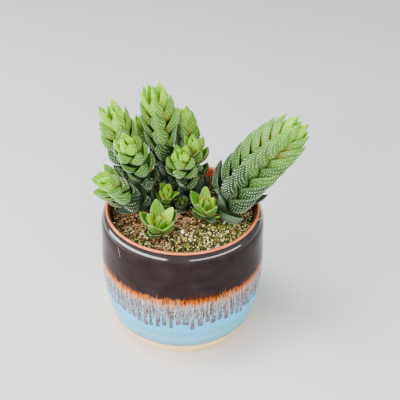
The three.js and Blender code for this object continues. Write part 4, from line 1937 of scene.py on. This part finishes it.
STEMS = [
    LeafyStem(
        "stem_right", foot=(30, 1), crown=(83.5, -2, 181), bow=(-3, 0, 3), core=5, heart=10.5, reach=19.5,
        leaves=40, length=(30, 31, 25), width=(8.4, 9, 6.6), thick=7, open=(60, 58, 22),
        close=(16, 13, 4), first=20, spread=24, bead_pitch=(1.8, 1.75), bead_size=0.43, plain=1.0,
        ripening_and_shade=1.5,
    ),
    LeafyStem(
        "stem_top", foot=(-10, 32), crown=(-22, 24, 195.5), bow=(1, 0, 0), core=4.4, heart=7.8, reach=15,
        leaves=31, length=(16, 25, 25), width=(6.8, 7.8, 6), thick=6.2, open=(58, 56, 32),
        close=(12, 12, 6), first=60, spread=4,
    ),
    LeafyStem(
        "stem_far_left", foot=(-35, 27), crown=(-52.5, 14, 185), bow=(1, 0, 2), core=4.2, heart=7.4,
        reach=15, leaves=28, length=(18, 22, 25), width=(7.2, 7.8, 6), thick=6.2, open=(58, 56, 26),
        close=(12, 12, 6), first=10, spread=10,
    ),
    LeafyStem(
        "stem_front_left", foot=(-25, 13), crown=(-41, -16, 177), bow=(-2, 3, 6), core=3.8, heart=6.6,
        reach=13, leaves=24, length=(17, 20, 16), width=(6.2, 7, 5.4), thick=5.6, open=(60, 56, 26),
        close=(14, 12, 4), first=100, spread=10, bead_size=0.4, flush=0.1, ripening_and_shade=1.6,
    ),
    LeafyStem(
        "stem_back_right", foot=(3, 41), crown=(0, 38, 170.5), bow=(2, 1, 2), core=3.6, heart=6.4,
        reach=12.5, leaves=24, length=(13, 21, 18), width=(5.8, 6.6, 5.2), thick=5.4, open=(58, 54, 22),
        close=(10, 8, 2), first=200, spread=2, flush=0.55,
    ),
    LeafyStem(
        "stem_mid_right", foot=(10, 28), crown=(7, 20, 157), bow=(1, 0, 3), core=3, heart=5.4, reach=11.5,
        leaves=18, length=(9, 18, 16), width=(5, 5.6, 4.8), thick=4.6, open=(45, 58, 30),
        close=(20, 18, 6), first=90, spread=4, flush=0.7,
    ),
    LeafyStem(
        "stem_centre", foot=(1, 19), crown=(-1.5, 0, 156.5), bow=(0, 3, 5), core=3.4, heart=5.8, reach=12,
        leaves=20, length=(17, 18, 15), width=(5.6, 6.4, 5.6), thick=5.2, open=(60, 58, 26),
        close=(15, 16, 4), first=50, spread=10, ripening_and_shade=1.3,
    ),
    LeafyStem(
        "stem_low_left", foot=(-31, 2), crown=(-60, -15, 142), bow=(0, 3, 7), core=3.8, heart=7,
        reach=14.5, leaves=21, length=(18, 21, 17), width=(6.2, 7, 5.4), thick=5.6, open=(62, 58, 26),
        close=(24, 18, 4), first=140, spread=24, ripening_and_shade=1.5,
    ),
    LeafyStem(
        "stem_back_left", foot=(-33, 38), crown=(-33, 36, 166), bow=(0, 0, 0), core=3, heart=4.6,
        reach=9.5, leaves=15, length=(14, 16, 15), width=(5, 5.6, 4.8), thick=4.2, open=(50, 45, 20),
        close=(6, 6, 2), first=30, spread=6,
    ),
    shaded_dark_pup(
        "pup_back", foot=(15, 19), crown=(10.5, 17, 124), bow=(0, 0, 0), core=2.6, heart=4.3, reach=8.5,
        leaves=10, length=(12, 13, 12), width=(5, 5.6, 4.8), thick=4, open=(58, 50, 20),
        close=(24, 14, 2), first=30, spread=12,
    ),
    shaded_dark_pup(
        "pup_dark", foot=(-1.5, 4), crown=(-0.5, 3, 110.5), bow=(0, 0, 0), core=2.6, heart=4.3, reach=10,
        leaves=9, length=(14, 14, 11), width=(4.8, 5.2, 4.4), thick=4, open=(62, 60, 30),
        close=(52, 34, 10), first=10, spread=10,
    ),
    young_pup(
        "pup_centre", foot=(-13, 8), crown=(-12.8, 2, 121), bow=(0, 0, 1), core=2.6, heart=4.3, reach=11,
        leaves=11, length=(14, 15, 13), width=(4.6, 5.2, 4.6), thick=4.2, open=(62, 58, 24),
        close=(40, 28, 4), first=70, spread=12, flush=1.6,
    ),
    young_pup(
        "pup_right", foot=(17.5, -6), crown=(18, -9, 117), bow=(0, 0, 1), core=2.8, heart=4.8, reach=14,
        leaves=10, length=(17, 20, 19), width=(5.4, 6.4, 5.6), thick=4.8, open=(62, 54, 20),
        close=(38, 20, 2), first=30, spread=14, flush=0.7,
    ),
    young_pup(
        "pup_front", foot=(-18, -25), crown=(-17.5, -28, 115), bow=(0, 0, 1), core=2.8, heart=4.8,
        reach=14, leaves=10, length=(16, 20, 19), width=(5.4, 6.4, 5.6), thick=4.8, open=(64, 56, 22),
        close=(42, 22, 2), first=190, spread=14, flush=0.7,
    ),
]


# Studio


def squared(hint: Vector, back: Vector) -> Vector:
    """A hint made square to a direction and given length one."""
    return (hint - back * back.dot(hint)).normalized()


def stand(thing: bpy.types.Object, place: Triple, right: Vector, up: Vector, back: Vector) -> None:
    """Puts a lamp or the camera in the scene, turned to three directions.

    Args:
        thing: the lamp or camera.
        place: where it stands, in metres.
        right: the direction of its right side.
        up: the direction of its top.
        back: the direction away from what it faces.
    """
    thing.rotation_mode = "QUATERNION"
    thing.rotation_quaternion = Matrix((right, up, back)).transposed().to_quaternion()
    thing.location = place
    bpy.context.scene.collection.objects.link(thing)


@dataclass(frozen=True)
class Lamp:
    """A soft rectangular lamp: its place and size in metres and its power in watts.

    Its width follows the direction along.
    """

    name: str
    place: Triple
    size: tuple[float, float]
    power: float
    along: Triple = (1.0, 0.0, 0.0)

    def hang(self, target: Triple) -> None:
        """Hangs the lamp so that it faces a target.

        Args:
            target: the point, in metres.
        """
        light = bpy.data.lights.new(self.name, "AREA")
        light.shape = "RECTANGLE"
        light.size, light.size_y = self.size
        light.energy = self.power
        back = (Vector(self.place) - Vector(target)).normalized()
        right = squared(Vector(self.along), back)
        stand(bpy.data.objects.new(self.name, light), self.place, right, back.cross(right), back)


@dataclass
class Studio:
    """A pale floor, soft lamps and the camera at the photograph's angle.

    The camera's place, in metres, and its two directions are those that were fitted to the
    rim and the foot of the pot in the photograph.
    """

    camera_place: Triple = (0.0, -0.441634, 0.432133)
    looks: Triple = (0.02462, 0.81117, -0.58429)
    upward: Triple = (0.00007, 0.58446, 0.81142)
    lens: float = 63.0
    sensor: float = 36.0
    target: Triple = (0.0, 0.0, 0.1)
    half_floor: float = 3.0
    lamps: tuple[Lamp, ...] = (
        Lamp("window_left", (-0.97, -0.4, 0.46), (2.1, 0.34), 42.0, along=(-0.39, 0.88, -0.27)),
        Lamp("window_right", (0.75, -0.74, 0.54), (1.5, 0.17), 13.0, along=(0.7, 0.7, -0.17)),
        Lamp("overhead", (-0.3, 0.05, 1.4), (0.5, 0.5), 21.0),
    )

    def floor(self) -> None:
        """Lays the wide plain floor that the pot stands on."""
        mix = Recipe("studio_floor")
        finish = mix.finish(mix.mix(mix.noise(180.0, 180.0), rgb(214, 213, 212), rgb(224, 223, 222)), 0.8)
        half = self.half_floor
        corners = [(-half, -half, 0), (half, -half, 0), (half, half, 0), (-half, half, 0)]
        mesh = bpy.data.meshes.new("studio_floor")
        mesh.from_pydata(corners, [], [(0, 1, 2, 3)])
        mesh.materials.append(finish)
        floor = bpy.data.objects.new("studio_floor", mesh)
        bpy.context.scene.collection.objects.link(floor)

    def sky(self) -> None:
        """Fills the room with soft, slightly cool light."""
        world = bpy.data.worlds.new("soft_room")
        world.use_nodes = True
        background = world.node_tree.nodes["Background"]
        background.inputs["Color"].default_value = (0.93, 0.95, 1.0, 1.0)
        background.inputs["Strength"].default_value = 0.64
        bpy.context.scene.world = world

    def camera(self) -> None:
        """Sets up the camera where the photograph was taken from."""
        data = bpy.data.cameras.new("photo_camera")
        data.lens, data.sensor_width = self.lens, self.sensor
        data.sensor_fit = "HORIZONTAL"
        camera = bpy.data.objects.new("photo_camera", data)
        back = -Vector(self.looks).normalized()
        up = squared(Vector(self.upward), back)
        stand(camera, self.camera_place, up.cross(back), up, back)
        bpy.context.scene.camera = camera

    def build(self) -> None:
        """Sets the whole studio up."""
        self.floor()
        self.sky()
        self.camera()
        for lamp in self.lamps:
            lamp.hang(self.target)


def main() -> None:
    """Builds the pots, the soil, the plant and the studio, in that order."""
    logging.basicConfig(level=logging.INFO, format="%(name)s: %(message)s")
    ground = Ground()
    for stem in STEMS:
        stem.plant(ground)
    pieces = [CeramicPot().build(), NurseryPot().build()]
    feet = [(*stem.foot, stem.core + 1.2) for stem in STEMS]
    pieces += SoilBed(ground, feet).build()
    skins = {kind: skin.material() for kind, skin in SKINS.items()}
    pieces += [stem.build(STEMS, skins[stem.kind]) for stem in STEMS]
    for piece in pieces:
        piece.data.calc_loop_triangles()
        log.info("%s: %d triangles", piece.name, len(piece.data.loop_triangles))
    Studio().build()


if __name__ == "__main__":
    main()
